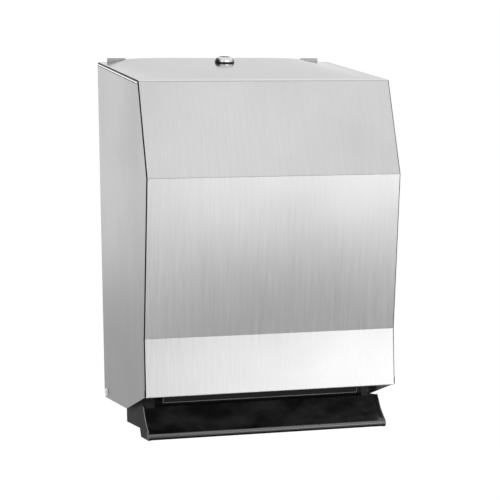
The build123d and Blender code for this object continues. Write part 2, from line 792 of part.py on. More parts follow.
def toothed_edge(teeth, centre, first_angle, count):
    # edges of a run of involute teeth about a (depth, drop) centre, angles in the side view
    pitch_r = gear_module * teeth / 2
    tip_r = pitch_r + gear_module * 0.95
    root_r = pitch_r - gear_module * 1.25
    middle_r = (tip_r + max(root_r, pitch_r * math.cos(math.radians(20)))) / 2
    cy, cz = at(*centre)
    step = 2 * math.pi / teeth

    def point(radius, angle):
        return (cy + radius * math.cos(angle), cz + radius * math.sin(angle))

    edges = []
    for i in range(count):
        mid = first_angle + i * step
        low, half, high = (tooth_half_angle(teeth, r) for r in (root_r, middle_r, tip_r))
        rise = [point(root_r, mid - low), point(middle_r, mid - half), point(tip_r, mid - high)]
        fall = [point(tip_r, mid + high), point(middle_r, mid + half), point(root_r, mid + low)]
        edges.append(ThreePointArc(*rise))
        edges.append(Line(rise[2], fall[0]))
        edges.append(ThreePointArc(*fall))
        if i < count - 1 or count == teeth:
            following = point(root_r, mid + step - low)
            edges.append(Line(fall[2], following))
    return edges, point, root_r


def mesh_angle():
    # direction from the lever pivot to the feed roller in the side view
    a = at(lever_depth, lever_drop)
    b = at(feed_depth, feed_drop)
    return math.atan2(b[1] - a[1], b[0] - a[0])


def sector_gear():
    # the sector's teeth run from just behind the mesh point forwards, for the push
    step = 2 * math.pi / sector_teeth
    last = mesh_angle() + sector_lead_teeth * step
    first = last - (sector_cut_teeth - 1) * step
    edges, point, root_r = toothed_edge(sector_teeth, (lever_depth, lever_drop), first, sector_cut_teeth)
    low = tooth_half_angle(sector_teeth, root_r)
    start = point(root_r, first - low)
    end = point(root_r, last + low)
    hub_r = bush_r + 6.0
    shoulder = 0.55
    hub_start = point(hub_r, first - shoulder)
    hub_end = point(hub_r, last + shoulder)
    back = point(hub_r, (first + last) / 2 + math.pi)
    edges += [Line(end, hub_end), ThreePointArc(hub_end, back, hub_start), Line(hub_start, start)]
    face = face_of(edges)
    # a tab at the rear carries the two screws that hold the sector on the lever arm
    tab = [(-10.0, 6.0), (-2.0, 46.0), (13.0, 49.0), (29.0, 40.5), (6.0, 8.0)]
    face += outline(*[(lever_depth + run, lever_drop + fall) for run, fall in tab])
    face -= Pos(*at(lever_depth, lever_drop)) * Circle(bush_r + 1.0)
    middle = (first + last) / 2
    for angle in (middle - 0.16, middle + 0.16):
        face -= Pos(*point(root_r * 0.62, angle)) * Circle(5.0)
    for place in sector_screw_places:
        face -= Pos(*at(*place)) * Circle(small_screw_r)
    return slab(face, gear_inner_x, gear_outer_x)


def sector_screws():
    # through the lever arm and its pads into the sector
    shapes = []
    for place in sector_screw_places:
        screw = disc(place, small_screw_r, gear_inner_x, lever_half_width)
        screw += disc(place, small_screw_r * 2, lever_half_width, lever_half_width + small_screw_head)
        shapes.append(screw.solid())
    return Compound(shapes)


def drive_pinion():
    step = 2 * math.pi / pinion_teeth
    # a gap of the pinion faces the sector, because a sector tooth lies on the line of centres
    first = mesh_angle() + math.pi + step / 2
    edges, point, root_r = toothed_edge(pinion_teeth, (feed_depth, feed_drop), first, pinion_teeth)
    face = face_of(edges) - Pos(*at(feed_depth, feed_drop)) * Circle(feed_bush_r)
    return slab(face, gear_inner_x, gear_outer_x)


def one_way_clutch():
    place = (feed_depth, feed_drop)
    ring = disc(place, feed_bush_r, gear_inner_x, gear_outer_x)
    return ring - disc(place, feed_shaft_r + running, gear_inner_x, gear_outer_x)


def bush(place, bore_r, outer_r, x_from, x_to, flange_from, flange_to):
    body = disc(place, outer_r, x_from, x_to) + disc(place, outer_r + bush_rim, flange_from, flange_to)
    return body - disc(place, bore_r, min(x_from, flange_from) - 1, max(x_to, flange_to) + 1)


def feed_bushes():
    place = (feed_depth, feed_drop)
    return both_sides(bush(place, feed_shaft_r + running, feed_bush_r, frame_inner_x, frame_outer_x,
                           frame_inner_x - bush_flange, frame_inner_x))


def anti_reverse_clutch():
    # a one-way bearing in a flanged cup on the outside of the left frame
    place = (feed_depth, feed_drop)
    cup = disc(place, feed_bush_r + 5.5, -frame_outer_x - bush_flange, -frame_outer_x)
    cup += disc(place, feed_bush_r + 1.5, -frame_outer_x - clutch_length, -frame_outer_x)
    return cup - disc(place, feed_shaft_r + running, -frame_outer_x - clutch_length - 1, -frame_outer_x + 1)


def feed_shaft():
    place = (feed_depth, feed_drop)
    left, right = feed_ring_xs()
    body = disc(place, feed_shaft_r, left - shaft_end, right + ring_width + 0.5)
    for x in (left, right):
        body -= ring_groove(place, feed_shaft_r, x)
    return body


def ring_groove(place, shaft_r, x):
    # the material that a snap ring's groove takes out of a shaft
    ring = disc(place, shaft_r + 1, x, x + ring_width)
    return ring - disc(place, shaft_r - groove_depth, x, x + ring_width)


def feed_ring_xs():
    # low ends of the two snap rings, outside the anti-reverse clutch and outside the pinion
    return -(frame_outer_x + clutch_length + 1.0), gear_outer_x + free_gap


def lever_ring_xs():
    return -(lever_half_width + free_gap + ring_width), lever_half_width + free_gap


def snap_ring(place, shaft_r, x):
    # an open ring that snaps into a groove
    ring = disc(place, shaft_r + ring_rim, x, x + ring_width)
    ring -= disc(place, shaft_r - groove_depth, x, x + ring_width)
    y, z = at(*place)
    gap = Pos(y, z + shaft_r + 1) * Rectangle(shaft_r * 1.1, 2 * shaft_r)
    return ring - slab(gap, x - 1, x + ring_width + 1)


def feed_snap_rings():
    place = (feed_depth, feed_drop)
    rings = [snap_ring(place, feed_shaft_r, x) for x in feed_ring_xs()]
    return Compound([ring.solid() for ring in rings])


def sleeve_middles():
    return [(i - (sleeve_count - 1) / 2) * sleeve_pitch for i in range(sleeve_count)]


def feed_core():
    place = (feed_depth, feed_drop)
    half = (sleeve_count - 1) / 2 * sleeve_pitch + sleeve_width / 2 + core_end
    body = disc(place, core_r, -half, half)
    return body - disc(place, feed_shaft_r, -half - 1, half + 1)


def sleeves(place, outer_r, inner_r):
    # one ground rubber sleeve for each stretch of the roller, with bevelled ends
    shapes = []
    for middle in sleeve_middles():
        ring = disc(place, outer_r, middle - sleeve_width / 2, middle + sleeve_width / 2)
        ring = chamfer(ring.edges().filter_by(GeomType.CIRCLE), sleeve_edge)
        ring -= disc(place, inner_r, middle - sleeve_width, middle + sleeve_width)
        shapes.append(ring.solid())
    return Compound(shapes)


def pressure_shaft():
    half = frame_inner_x - free_gap
    return disc((pressure_depth, feed_drop), pressure_shaft_r, -half, half)


def pressure_yoke():
    # two eyed arms joined by a web behind the roller
    pivot = (yoke_depth, yoke_drop)
    axle = (pressure_depth, feed_drop)
    web_depth = yoke_depth - yoke_coil_r + yoke_wire_r + running
    web_top = yoke_drop + yoke_eye_r
    web_bottom = feed_drop - yoke_web_fall
    arm = outline((yoke_depth - 6.0, yoke_drop + 3.0), (web_depth, web_top), (web_depth, web_bottom),
                  (pressure_depth - 5.0, feed_drop + 4.5), (pressure_depth + 6.5, feed_drop - 2.5),
                  (yoke_depth + 6.5, yoke_drop - 2.5))
    arm += Pos(*at(*pivot)) * Circle(yoke_eye_r)
    arm += Pos(*at(*axle)) * Circle(yoke_eye_r)
    arm -= Pos(*at(*pivot)) * Circle(yoke_rod_r + running)
    arm -= Pos(*at(*axle)) * Circle(pressure_shaft_r + running)
    side = slab(arm, yoke_inner_x, yoke_inner_x + yoke_sheet)
    web = outline((web_depth, web_top), (web_depth + yoke_sheet, web_top),
                  (web_depth + yoke_sheet, web_bottom), (web_depth, web_bottom))
    return side + mirror(side, about=Plane.YZ) + slab(web, -yoke_inner_x, yoke_inner_x)


def yoke_rod():
    place = (yoke_depth, yoke_drop)
    body = disc(place, yoke_rod_r, -frame_outer_x, frame_outer_x)
    for x in (-frame_outer_x - rod_head, frame_outer_x):
        body += disc(place, yoke_rod_r + rod_head_rim, x, x + rod_head)
    return body


def tie_rod():
    body = disc(tie_rod_place, tie_rod_r, -frame_outer_x, frame_outer_x)
    for x in (-frame_outer_x - rod_head, frame_outer_x):
        body += disc(tie_rod_place, tie_rod_r + rod_head_rim, x, x + rod_head)
    return body


def spring_posts():
    # small studs riveted in the left frame
    inner = disc(yoke_post, post_r, -frame_outer_x, yoke_post_length - yoke_inner_x)
    outer = disc(pull_post, post_r, -(pull_x + post_end), -frame_inner_x)
    outer += disc(pull_post, post_r + 1.2, -(pull_x + post_end + 1.0), -(pull_x + post_end))
    return Compound([inner.solid(), outer.solid()])


def lever_shaft():
    place = (lever_depth, lever_drop)
    end = lever_half_width + free_gap + ring_width + shaft_end
    body = disc(place, lever_shaft_r, -end, end)
    for x in lever_ring_xs():
        body -= ring_groove(place, lever_shaft_r, x)
    return body


def lever_snap_rings():
    place = (lever_depth, lever_drop)
    rings = [snap_ring(place, lever_shaft_r, x) for x in lever_ring_xs()]
    return Compound([ring.solid() for ring in rings])


def shaft_spacers():
    place = (lever_depth, lever_drop)
    tube = disc(place, bush_r, frame_outer_x, lever_arm_inner_x - bush_flange - free_gap)
    tube -= disc(place, lever_shaft_r, frame_outer_x - 1, lever_half_width)
    return both_sides(tube)


def lever_bushes():
    place = (lever_depth, lever_drop)
    return both_sides(bush(place, lever_shaft_r + running, bush_r, lever_arm_inner_x, lever_half_width,
                           lever_arm_inner_x - bush_flange, lever_arm_inner_x))


def face_point(proud):
    # the middle of the concave face, moved out of the face by a distance
    chord = (lever_bead[0] - lever_top[0], lever_bead[1] - lever_top[1])
    share = proud / math.hypot(*chord)
    return (lever_face_middle[0] + share * chord[1], lever_face_middle[1] - share * chord[0])


def bead_point(degrees, radius):
    # a point of the bead's section, 0 to the front and 90 upwards
    angle = math.radians(degrees)
    return (lever_bead[0] + radius * math.cos(angle), lever_bead[1] - radius * math.sin(angle))


def lever_end_outline(notched=False):
    # the end wall: boss at the pivot, heel at the rear, raised rim, foot and bead at the front
    # a notched one stands back above the top of the face
    boss_front = (lever_depth + lever_boss_r, lever_drop)
    boss_rear = (lever_depth - lever_boss_r, lever_drop)
    corner = (lever_top[0] + face_recess, lever_top[1] - 2.0)
    front = [boss_front, corner]
    if notched:
        corner = (lever_top[0] + 0.5, lever_top[1] - 0.2)
        front = [boss_front, (lever_top[0] + lever_notch_run[0], lever_top[1] + lever_notch_run[1]), corner]
    rim_r = lever_bead_r + 0.3
    places = [bead_point(angle, rim_r) for angle in (62, 0, -90)]
    foot = (lever_foot_depth, lever_bead[1] + rim_r)
    lines = [Line(at(*a), at(*b)) for a, b in zip(front, front[1:])]
    lines += [ThreePointArc(at(*corner), at(*face_point(face_recess)), at(*places[0])),
              ThreePointArc(at(*places[0]), at(*places[1]), at(*places[2]))]
    turns = [places[2], foot, lever_step, lever_heel, lever_heel_top, boss_rear, boss_front]
    lines += [Line(at(*a), at(*b)) for a, b in zip(turns, turns[1:])]
    return face_of(lines) + Pos(*at(lever_depth, lever_drop)) * Circle(lever_boss_r)


def lever_channel():
    # the section of the face: concave front, bead, flat foot and a rear step, one wall thick
    wall = lever_face_wall
    bead_top = bead_point(68, lever_bead_r)
    bottom = bead_point(-90, lever_bead_r)
    foot = (lever_foot_depth, bottom[1])
    step_top = (lever_step[0] + wall * 0.85, lever_step[1] - wall * 0.3)
    inner_foot = (lever_foot_depth + wall * 0.7, bottom[1] - wall)
    inner_toe = (lever_bead[0] - 6.0, bottom[1] - wall)
    inner_top = (lever_top[0] - wall, lever_top[1] + wall * 0.25)
    lines = [ThreePointArc(at(*lever_top), at(*face_point(0.0)), at(*bead_top)),
             ThreePointArc(at(*bead_top), at(*bead_point(0, lever_bead_r)), at(*bottom)),
             ThreePointArc(at(*inner_toe), at(*face_point(-wall)), at(*inner_top))]
    for run in ([bottom, foot, lever_step, step_top, inner_foot, inner_toe], [inner_top, lever_top]):
        lines += [Line(at(*a), at(*b)) for a, b in zip(run, run[1:])]
    return face_of(lines)


def push_lever():
    pivot = (lever_depth, lever_drop)
    end = slab(lever_end_outline(notched=True), lever_arm_inner_x, lever_half_width)
    end -= disc(pivot, bush_r, lever_arm_inner_x - 1.0, lever_half_width + 1.0)
    left_end = slab(lever_end_outline(), -lever_half_width, -lever_arm_inner_x)
    left_end -= disc(pivot, bush_r, -lever_half_width - 1.0, 1.0 - lever_arm_inner_x)
    # pads and holes for the screws of the gear sector on the right arm
    for place in sector_screw_places:
        end += disc(place, lever_pad_r, gear_outer_x, lever_arm_inner_x)
        end -= disc(place, small_screw_r, gear_outer_x - 1.0, lever_half_width + 1.0)
    stud = (lever_depth, lever_drop + pull_lever_fall)
    stud_end = post_end - pull_x
    left_end += disc(stud, post_r, -lever_arm_inner_x, stud_end)
    left_end += disc(stud, post_r + 0.9, stud_end - 0.8, stud_end)
    face_half = lever_half_width - 1.0
    body = end + left_end + slab(lever_channel(), -face_half, face_half)
    # ribs inside the channel stiffen the face
    places = [(lever_top[0] + run, lever_top[1] + fall) for run, fall in lever_rib_runs]
    rib = outline(face_point(-0.8), *places)
    for i in range(lever_rib_count):
        x = (i - (lever_rib_count - 1) / 2) * 2 * lever_arm_inner_x / (lever_rib_count + 1)
        body += slab(rib, x - lever_rib_width / 2, x + lever_rib_width / 2)
    return body


def tear_plate():
    # black plate in front of the paper, funnelled forward at its top, tabs at both ends
    depth = tear_plate_depth
    thickness = tear_plate_sheet
    bottom = tear_plate_bottom
    bend = (depth, bottom - tear_plate_height)
    lip = (depth + tear_flare[0], bend[1] - tear_flare[1])
    section = sheet_section([(depth, bottom), bend, lip], thickness, bend_inner_r, Side.LEFT)
    bar = slab(section, -frame_inner_x, frame_inner_x)
    notch_top = bottom - tear_end_rise
    below = bottom + 4.0
    notch = outline((depth - 3, notch_top), (depth + 5, notch_top), (depth + 5, below), (depth - 3, below))
    for side in (-1, 1):
        x_from, x_to = sorted((side * tear_half_width, side * (frame_inner_x + 1)))
        bar -= slab(notch, x_from, x_to)
    tab_front = depth + tear_tab_length
    tab_bottom = bend[1] + tear_tab_fall
    tab = outline((depth + 0.6, bend[1]), (lip[0], lip[1] - 0.5), (tab_front, lip[1] - 1.5),
                  (tab_front, tab_bottom), (depth + 0.6, tab_bottom))
    for place in tear_screw_places:
        tab -= Pos(*at(*place)) * Circle(small_screw_r)
    ear = slab(tab, frame_inner_x - thickness, frame_inner_x)
    body = bar + ear + mirror(ear, about=Plane.YZ)
    for x in blade_rivet_xs:
        body -= along_y(x, blade_rivet_drop, blade_rivet_r, depth - 1.0, depth + thickness + 1.0)
    return body


def tear_blade():
    # thin steel strip behind the plate, its lower edge cut into teeth
    count = int(2 * tear_half_width / tooth_pitch)
    half = count * tooth_pitch / 2
    root_z = cover_top_z - blade_tip_drop + tooth_height
    tip_z = cover_top_z - blade_tip_drop
    points = [(-half, cover_top_z - blade_top_drop), (-half, root_z)]
    for i in range(count):
        points.append((-half + (i + 0.5) * tooth_pitch, tip_z))
        points.append((-half + (i + 1) * tooth_pitch, root_z))
    points.append((half, cover_top_z - blade_top_drop))
    plane = Plane(origin=(0, -(wall_gap + tear_plate_depth), 0), x_dir=(1, 0, 0), z_dir=(0, -1, 0))
    body = extrude(plane * make_face(Polyline(*points, close=True)), -blade_sheet)
    for x in blade_rivet_xs:
        body -= along_y(x, blade_rivet_drop, blade_rivet_r, tear_plate_depth - 3, tear_plate_depth + 1)
    return body


def blade_rivets():
    shapes = []
    front = tear_plate_depth + tear_plate_sheet
    rear = tear_plate_depth - blade_sheet
    for x in blade_rivet_xs:
        rivet = along_y(x, blade_rivet_drop, blade_rivet_r, rear, front)
        rivet += along_y(x, blade_rivet_drop, blade_rivet_r * 1.9, front, front + 0.9)
        rivet += along_y(x, blade_rivet_drop, blade_rivet_r * 1.7, rear - 0.7, rear)
        shapes.append(rivet.solid())
    return Compound(shapes)


def paper_guide():
    # rear wall of the paper slot, with fingers that reach up between the roller sleeves
    depth = guide_depth
    top = guide_top_drop
    foot = depth - guide_foot_length
    places = [(foot, top), (depth - 19.5, top), (depth - 5.5, top + 1.5), (depth, top + 10.5),
              (depth, top + guide_height)]
    section = sheet_section(places, guide_sheet, bend_inner_r, Side.LEFT)
    body = slab(section, -frame_inner_x, frame_inner_x)
    root_drop = top + 11.5
    tip_drop = feed_drop + finger_top_fall
    runs = [(-guide_sheet, root_drop), (0.0, root_drop), (-0.4, tip_drop), (-1.8, tip_drop)]
    finger = outline(*[(depth + run, drop) for run, drop in runs])
    middles = sleeve_middles()
    for a, b in zip(middles, middles[1:]):
        x = (a + b) / 2
        body += slab(finger, x - finger_width / 2, x + finger_width / 2)
    tab = outline((foot, top + 0.5), (foot + 18.0, top + 0.5), (foot + 18.0, top + 9.0), (foot, top + 9.0))
    for place in guide_screw_places:
        tab -= Pos(*at(*place)) * Circle(small_screw_r)
    ear = slab(tab, frame_inner_x - guide_sheet, frame_inner_x)
    return body + ear + mirror(ear, about=Plane.YZ)


def small_screws(places, depth_inside):
    # pan-head screws from the outside of both frames
    shapes = []
    for place in places:
        screw = disc(place, small_screw_r, frame_inner_x - depth_inside, frame_outer_x)
        screw += disc(place, small_screw_r * 2, frame_outer_x, frame_outer_x + small_screw_head)
        shapes += both_sides(screw).solids()
    return Compound(shapes)


def frame_screws():
    shapes = []
    front = plate_front_depth + frame_sheet
    for drop in frame_screw_drops:
        screw = along_y(frame_screw_x, drop, frame_screw_r, -wall_gap + rivet_recess, front)
        screw += along_y(frame_screw_x, drop, frame_screw_r + 1.8, front, front + frame_screw_head)
        shapes += both_sides(screw).solids()
    return Compound(shapes)


def tube_along(points, tangents, wire_r):
    # one tube through points with given directions, joined by pairs of tangent arcs
    edges = []
    for p, q, t, u in zip(points, points[1:], tangents, tangents[1:]):
        chord = q - p
        if t.cross(chord.normalized()).length < 1e-6 and u.cross(chord.normalized()).length < 1e-6:
            edges.append(Edge.make_line(p, q))
            continue
        s = t + u
        a = 4 - s.dot(s)
        b = 2 * chord.dot(s)
        c = -chord.dot(chord)
        reach = -c / b if abs(a) < 1e-9 else (-b + math.sqrt(b * b - 4 * a * c)) / (2 * a)
        middle = (p + t * reach + q - u * reach) / 2
        direction = (q - u * reach - p - t * reach).normalized()
        edges.append(Edge.make_tangent_arc(p, t, middle))
        edges.append(Edge.make_tangent_arc(middle, direction, q))
    path = Wire(edges)
    profile = Plane(origin=points[0], z_dir=tangents[0]) * Circle(wire_r)
    return sweep(profile, path=path), path


def coil(frame, radius, pitch, start, turns):
    # points and directions about every quarter turn of a helix along the frame's z axis
    steps = math.ceil(turns * 4)
    points = []
    tangents = []
    for i in range(steps + 1):
        angle = start + i / steps * turns * 2 * math.pi
        height = pitch * turns * i / steps
        place = Vector(radius * math.cos(angle), radius * math.sin(angle), height)
        points.append(frame.from_local_coords(place))
        run = Vector(-radius * math.sin(angle), radius * math.cos(angle), pitch / (2 * math.pi))
        tangents.append((frame.from_local_coords(run) - frame.origin).normalized())
    return points, tangents


def report_gap(name, path, wire_r):
    # least gap between stretches of the tube that are over a quarter turn apart
    count = 900
    samples = [path.position_at(i / count) for i in range(count + 1)]
    step = path.length / count
    skip = max(3, int(4.0 * wire_r * 2.2 / step))
    pairs = [(i, j) for i in range(0, count, 2) for j in range(i + skip, count, 2)]
    least = min((samples[i] - samples[j]).length for i, j in pairs)
    print(f"{name}: wire length {path.length:.1f} mm, least gap to itself {least - 2 * wire_r:.2f} mm")


def torsion_spring(name, frame, radius, pitch, start, turns, wire_r, leg):
    # a coil whose two legs leave it straight
    points, tangents = coil(frame, radius, pitch, start, turns)
    points = [points[0] - tangents[0] * leg] + points + [points[-1] + tangents[-1] * leg]
    tangents = [tangents[0]] + tangents + [tangents[-1]]
    body, path = tube_along(points, tangents, wire_r)
    report_gap(name, path, wire_r)
    return body


def arm_spring():
    # round the right arm's hinge pin: its legs press inwards on the arm and on the frame
    length = arm_coil_turns * arm_coil_pitch
    origin = (arm_hinge_x, -(wall_gap + roll_depth - length / 2), cover_top_z - arm_hinge_drop)
    frame = Plane(origin=origin, x_dir=(1, 0, 0), z_dir=(0, -1, 0))
    # the legs lean in until they lie on the outer faces of the plates
    reach = arm_hinge_x - frame_outer_x - arm_wire_r - running
    lean = math.atan2(arm_coil_r, arm_leg) + math.asin(reach / math.hypot(arm_coil_r, arm_leg))
    turns = arm_coil_turns + lean / math.pi
    return torsion_spring("arm spring", frame, arm_coil_r, arm_coil_pitch, -lean, turns, arm_wire_r, arm_leg)


def yoke_spring():
    # round the yoke's rod beside the left arm: one leg behind the web, one behind a post
    origin = (-(yoke_inner_x - 2 * yoke_wire_r - free_gap), *at(yoke_depth, yoke_drop))
    frame = Plane(origin=origin, x_dir=(0, 1, 0), z_dir=(1, 0, 0))
    return torsion_spring("yoke spring", frame, yoke_coil_r, yoke_coil_pitch, 0.0, yoke_coil_turns,
                          yoke_wire_r, yoke_leg)


def hook(centre, inward, side, ring_r):
    # half a ring round a post, then a reverse bend on to the line through both posts
    root = math.sqrt(3)
    places = [(0, -1), (-1, 0), (0, 1), (root / 2, 0.5), (root, 0)]
    runs = [(-1, 0), (0, 1), (1, 0), (0.5, -root / 2), (1, 0)]
    points = [centre + inward * (ring_r * p) + side * (ring_r * q) for p, q in places]
    return points, [inward * p + side * q for p, q in runs]


def lever_return_spring():
    # a pull spring outside the left frame, between a frame post and the lever's stud
    front = Vector(-pull_x, *at(*pull_post))
    rear = Vector(-pull_x, *at(lever_depth, lever_drop + pull_lever_fall))
    pull = (rear - front).normalized()
    across = Vector(1, 0, 0).cross(pull)
    ring_r = post_r + pull_wire_r + pull_hook_gap
    body_length = pull_coil_turns * pull_coil_pitch
    start = front + pull * (((rear - front).length - body_length) / 2)
    frame = Plane(origin=start, x_dir=across, z_dir=pull)
    coil_points, coil_tangents = coil(frame, pull_coil_r, pull_coil_pitch, 0.0, pull_coil_turns)
    front_points, front_tangents = hook(front, pull, across, ring_r)
    rear_points, rear_tangents = hook(rear, pull * -1.0, across, ring_r)
    lead_in = start - pull * pull_lead
    lead_out = start + pull * (body_length + pull_lead)
    points = front_points + [lead_in] + coil_points + [lead_out] + rear_points[::-1]
    tangents = front_tangents + [pull] + coil_tangents + [pull] + [t * -1.0 for t in rear_tangents[::-1]]
    body, path = tube_along(points, tangents, pull_wire_r)
    report_gap("lever return spring", path, pull_wire_r)
    return body


def main():
    os.makedirs("parts", exist_ok=True)
    save(wall_plate(), "wall_plate")
    save(lock_catch(), "lock_catch")
    save(catch_rivets(), "catch_rivets")
    save(cover_wrap(), "cover_wrap")
    save_pair(side_panel(), "side_panel")
    save(pivot_rivets(), "pivot_rivets")
    save(pivot_washers(), "pivot_washers")
    save(lock_barrel(), "lock_barrel")
    save(lock_plug(), "lock_plug")
    save(lock_cam(), "lock_cam")
    save(cam_screw(), "cam_screw")
    save(lock_washer(), "lock_washer")
    save(lock_nut(), "lock_nut")
    save_pair(side_frame(), "side_frame")
    save_pair(roll_arm(), "roll_arm")
    save(arm_hinge_pins(), "arm_hinge_pins")
    save_pair(hub_pin(), "hub_pin")
    save_pair(core_hub(), "core_hub")
    save_pair(arm_spring(), "arm_spring")
    save(sector_gear(), "sector_gear")
    save(sector_screws(), "sector_screws")
    save(drive_pinion(), "drive_pinion")
    save(one_way_clutch(), "one_way_clutch")
    save(feed_bushes(), "feed_bushes")
    save(anti_reverse_clutch(), "anti_reverse_clutch")
    save(feed_shaft(), "feed_shaft")
    save(feed_snap_rings(), "feed_snap_rings")
    save(feed_core(), "feed_core")
    feed = (feed_depth, feed_drop)
    pressure = (pressure_depth, feed_drop)
    save(sleeves(feed, feed_r, core_r), "feed_sleeves")
    save(sleeves(pressure, pressure_r, pressure_shaft_r), "pressure_sleeves")
    save(pressure_shaft(), "pressure_shaft")
    save(pressure_yoke(), "pressure_yoke")
    save(yoke_rod(), "yoke_rod")
    save(tie_rod(), "tie_rod")
    save(spring_posts(), "spring_posts")
    save(lever_shaft(), "lever_shaft")
    save(lever_snap_rings(), "lever_snap_rings")
    save(shaft_spacers(), "shaft_spacers")
    save(lever_bushes(), "lever_bushes")
    save(push_lever(), "push_lever")
    save(tear_plate(), "tear_plate")
    save(tear_blade(), "tear_blade")
    save(blade_rivets(), "blade_rivets")
    save(paper_guide(), "paper_guide")
    save(small_screws(tear_screw_places, tear_plate_sheet), "tear_plate_screws")
    save(small_screws(guide_screw_places, guide_sheet), "guide_screws")
    save(frame_screws(), "frame_screws")
    save(yoke_spring(), "yoke_spring")
    save(lever_return_spring(), "lever_return_spring")


main()
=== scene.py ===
# %% [markdown]
# # A wall dispenser for rolls of towel
# The dispenser's shapes come packed from its construction model, body by body, in metres.
# This script dresses them: it adds the finishes, the small repeated details, the light and
# the camera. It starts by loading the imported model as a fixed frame, so each new piece can
# be placed by the model's own numbers.

# %% Load the frame
import json
import math

import bmesh
import bpy
from mathutils import Matrix, Vector


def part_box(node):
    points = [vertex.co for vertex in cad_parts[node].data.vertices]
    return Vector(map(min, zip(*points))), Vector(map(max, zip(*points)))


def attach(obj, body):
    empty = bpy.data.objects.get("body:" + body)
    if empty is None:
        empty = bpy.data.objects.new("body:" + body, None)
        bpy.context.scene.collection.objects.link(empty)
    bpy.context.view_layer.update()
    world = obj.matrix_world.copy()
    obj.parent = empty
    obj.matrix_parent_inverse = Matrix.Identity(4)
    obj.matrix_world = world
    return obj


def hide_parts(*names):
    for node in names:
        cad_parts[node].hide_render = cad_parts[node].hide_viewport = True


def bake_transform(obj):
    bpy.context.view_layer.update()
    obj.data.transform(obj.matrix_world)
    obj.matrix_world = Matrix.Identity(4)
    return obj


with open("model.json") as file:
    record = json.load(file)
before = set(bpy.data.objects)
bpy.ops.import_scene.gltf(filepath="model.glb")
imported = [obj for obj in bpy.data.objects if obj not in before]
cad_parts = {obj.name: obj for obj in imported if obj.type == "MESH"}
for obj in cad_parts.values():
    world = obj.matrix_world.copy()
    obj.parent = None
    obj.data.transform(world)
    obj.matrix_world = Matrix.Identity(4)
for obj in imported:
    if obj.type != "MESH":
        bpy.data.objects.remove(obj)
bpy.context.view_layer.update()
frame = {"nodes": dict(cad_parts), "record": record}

nodes = frame["nodes"]

# %% [markdown]
# ## Places on the case
# The construction model gives a place on the case by three lengths in millimetres: sideways
# from the middle, forward of the cover's rear edge, and below the cover's top. The frame
# counts in metres, from the wall and from the middle of the screw holes. One helper turns
# the first into the second, so that a place is written here as it is there. Another puts a
# new object into the scene at the origin, because a finished piece has its place in its mesh.

# %% Two helpers for places and objects
scene = bpy.context.scene
cover_rear = 4.0
cover_top = 180.0


def at(x, forward, below):
    return Vector((x, -(cover_rear + forward), cover_top - below)) / 1000.0


def add(name, data):
    thing = bpy.data.objects.new(name, data)
    scene.collection.objects.link(thing)
    return thing


print("rear edge of the cover's top", [round(value, 4) for value in at(0.0, 0.0, 0.0)])

# %% [markdown]
# ## The camera
# The photograph was taken with a long lens from the left, a little above the middle of the
# case, and rolled by one degree. Its place and turn were found by matching the case's edges.
# A camera looks along its own -Z, so the matrix is built from the three directions of the
# view: right, up and backwards.

# %% Place the camera
view_yaw = 0.2901
view_pitch = -0.0452
view_roll = 0.0183
camera_place = (-0.55881, -2.00320, 0.05736)
focal_pixels = 1798.18
photo_width = 500
sensor_width = 36.0

forward = Vector((math.sin(view_yaw) * math.cos(view_pitch),
                  math.cos(view_yaw) * math.cos(view_pitch),
                  math.sin(view_pitch)))
level_right = Vector((math.cos(view_yaw), -math.sin(view_yaw), 0.0))
level_down = forward.cross(level_right)
right = math.cos(view_roll) * level_right + math.sin(view_roll) * level_down
down = math.cos(view_roll) * level_down - math.sin(view_roll) * level_right
turn = Matrix((right, -down, -forward)).transposed().to_4x4()

lens = bpy.data.cameras.new("photo_camera")
lens.sensor_width = sensor_width
lens.lens = sensor_width * focal_pixels / photo_width
lens.clip_end = 50.0
camera = add("photo_camera", lens)
camera.matrix_world = Matrix.Translation(camera_place) @ turn
scene.camera = camera
scene.view_settings.view_transform = "Standard"
print("camera lens", round(lens.lens, 2), "mm")

# %% [markdown]
# ## Writing a material as a sum
# Shader nodes get long when every Math node is made by hand. A small class wraps a socket, so
# that an expression such as `1 - mask * 0.3` adds its Math nodes by itself. A second class
# holds a tree of nodes and has one method that makes any other node. A third adds the
# patterns that a material is made of.

# %% A socket that can do sums
class Signal:
    def __init__(self, shader, socket):
        self.shader = shader
        self.socket = socket

    def __add__(self, other):
        return self.shader.sum("ADD", self, other)

    def __sub__(self, other):
        return self.shader.sum("SUBTRACT", self, other)

    def __mul__(self, other):
        return self.shader.sum("MULTIPLY", self, other)

    def __radd__(self, other):
        return self.shader.sum("ADD", other, self)

    def __rsub__(self, other):
        return self.shader.sum("SUBTRACT", other, self)

    def __rmul__(self, other):
        return self.shader.sum("MULTIPLY", other, self)


print("sockets add, subtract and multiply")


# %% A tree with one method for any node
class NodeTree:
    def __init__(self, owner, output_kind):
        owner.use_nodes = True
        self.owner = owner
        self.tree = owner.node_tree
        self.tree.nodes.clear()
        self.output = self.tree.nodes.new(output_kind)

    def node(self, kind, settings=None, inputs=None, output=0):
        node = self.tree.nodes.new(kind)
        for name, value in (settings or {}).items():
            setattr(node, name, value)
        for key, value in (inputs or {}).items():
            if isinstance(value, Signal):
                self.tree.links.new(value.socket, node.inputs[key])
            else:
                node.inputs[key].default_value = value
        return Signal(self, node.outputs[output])

    def sum(self, operation, first, second):
        return self.node("ShaderNodeMath", {"operation": operation}, {0: first, 1: second})

    def blend(self, factor, first, second):
        # a colour between two colours
        return self.node("ShaderNodeMix", {"data_type": "RGBA"}, {0: factor, 6: first, 7: second}, output=2)

    def mix(self, factor, first, second):
        # a shader between two shaders
        return self.node("ShaderNodeMixShader", inputs={0: factor, 1: first, 2: second})

    def complete(self, surface):
        self.tree.links.new(surface.socket, self.output.inputs["Surface"])
        return self.owner


print("a tree has node, sum, blend, mix and complete")


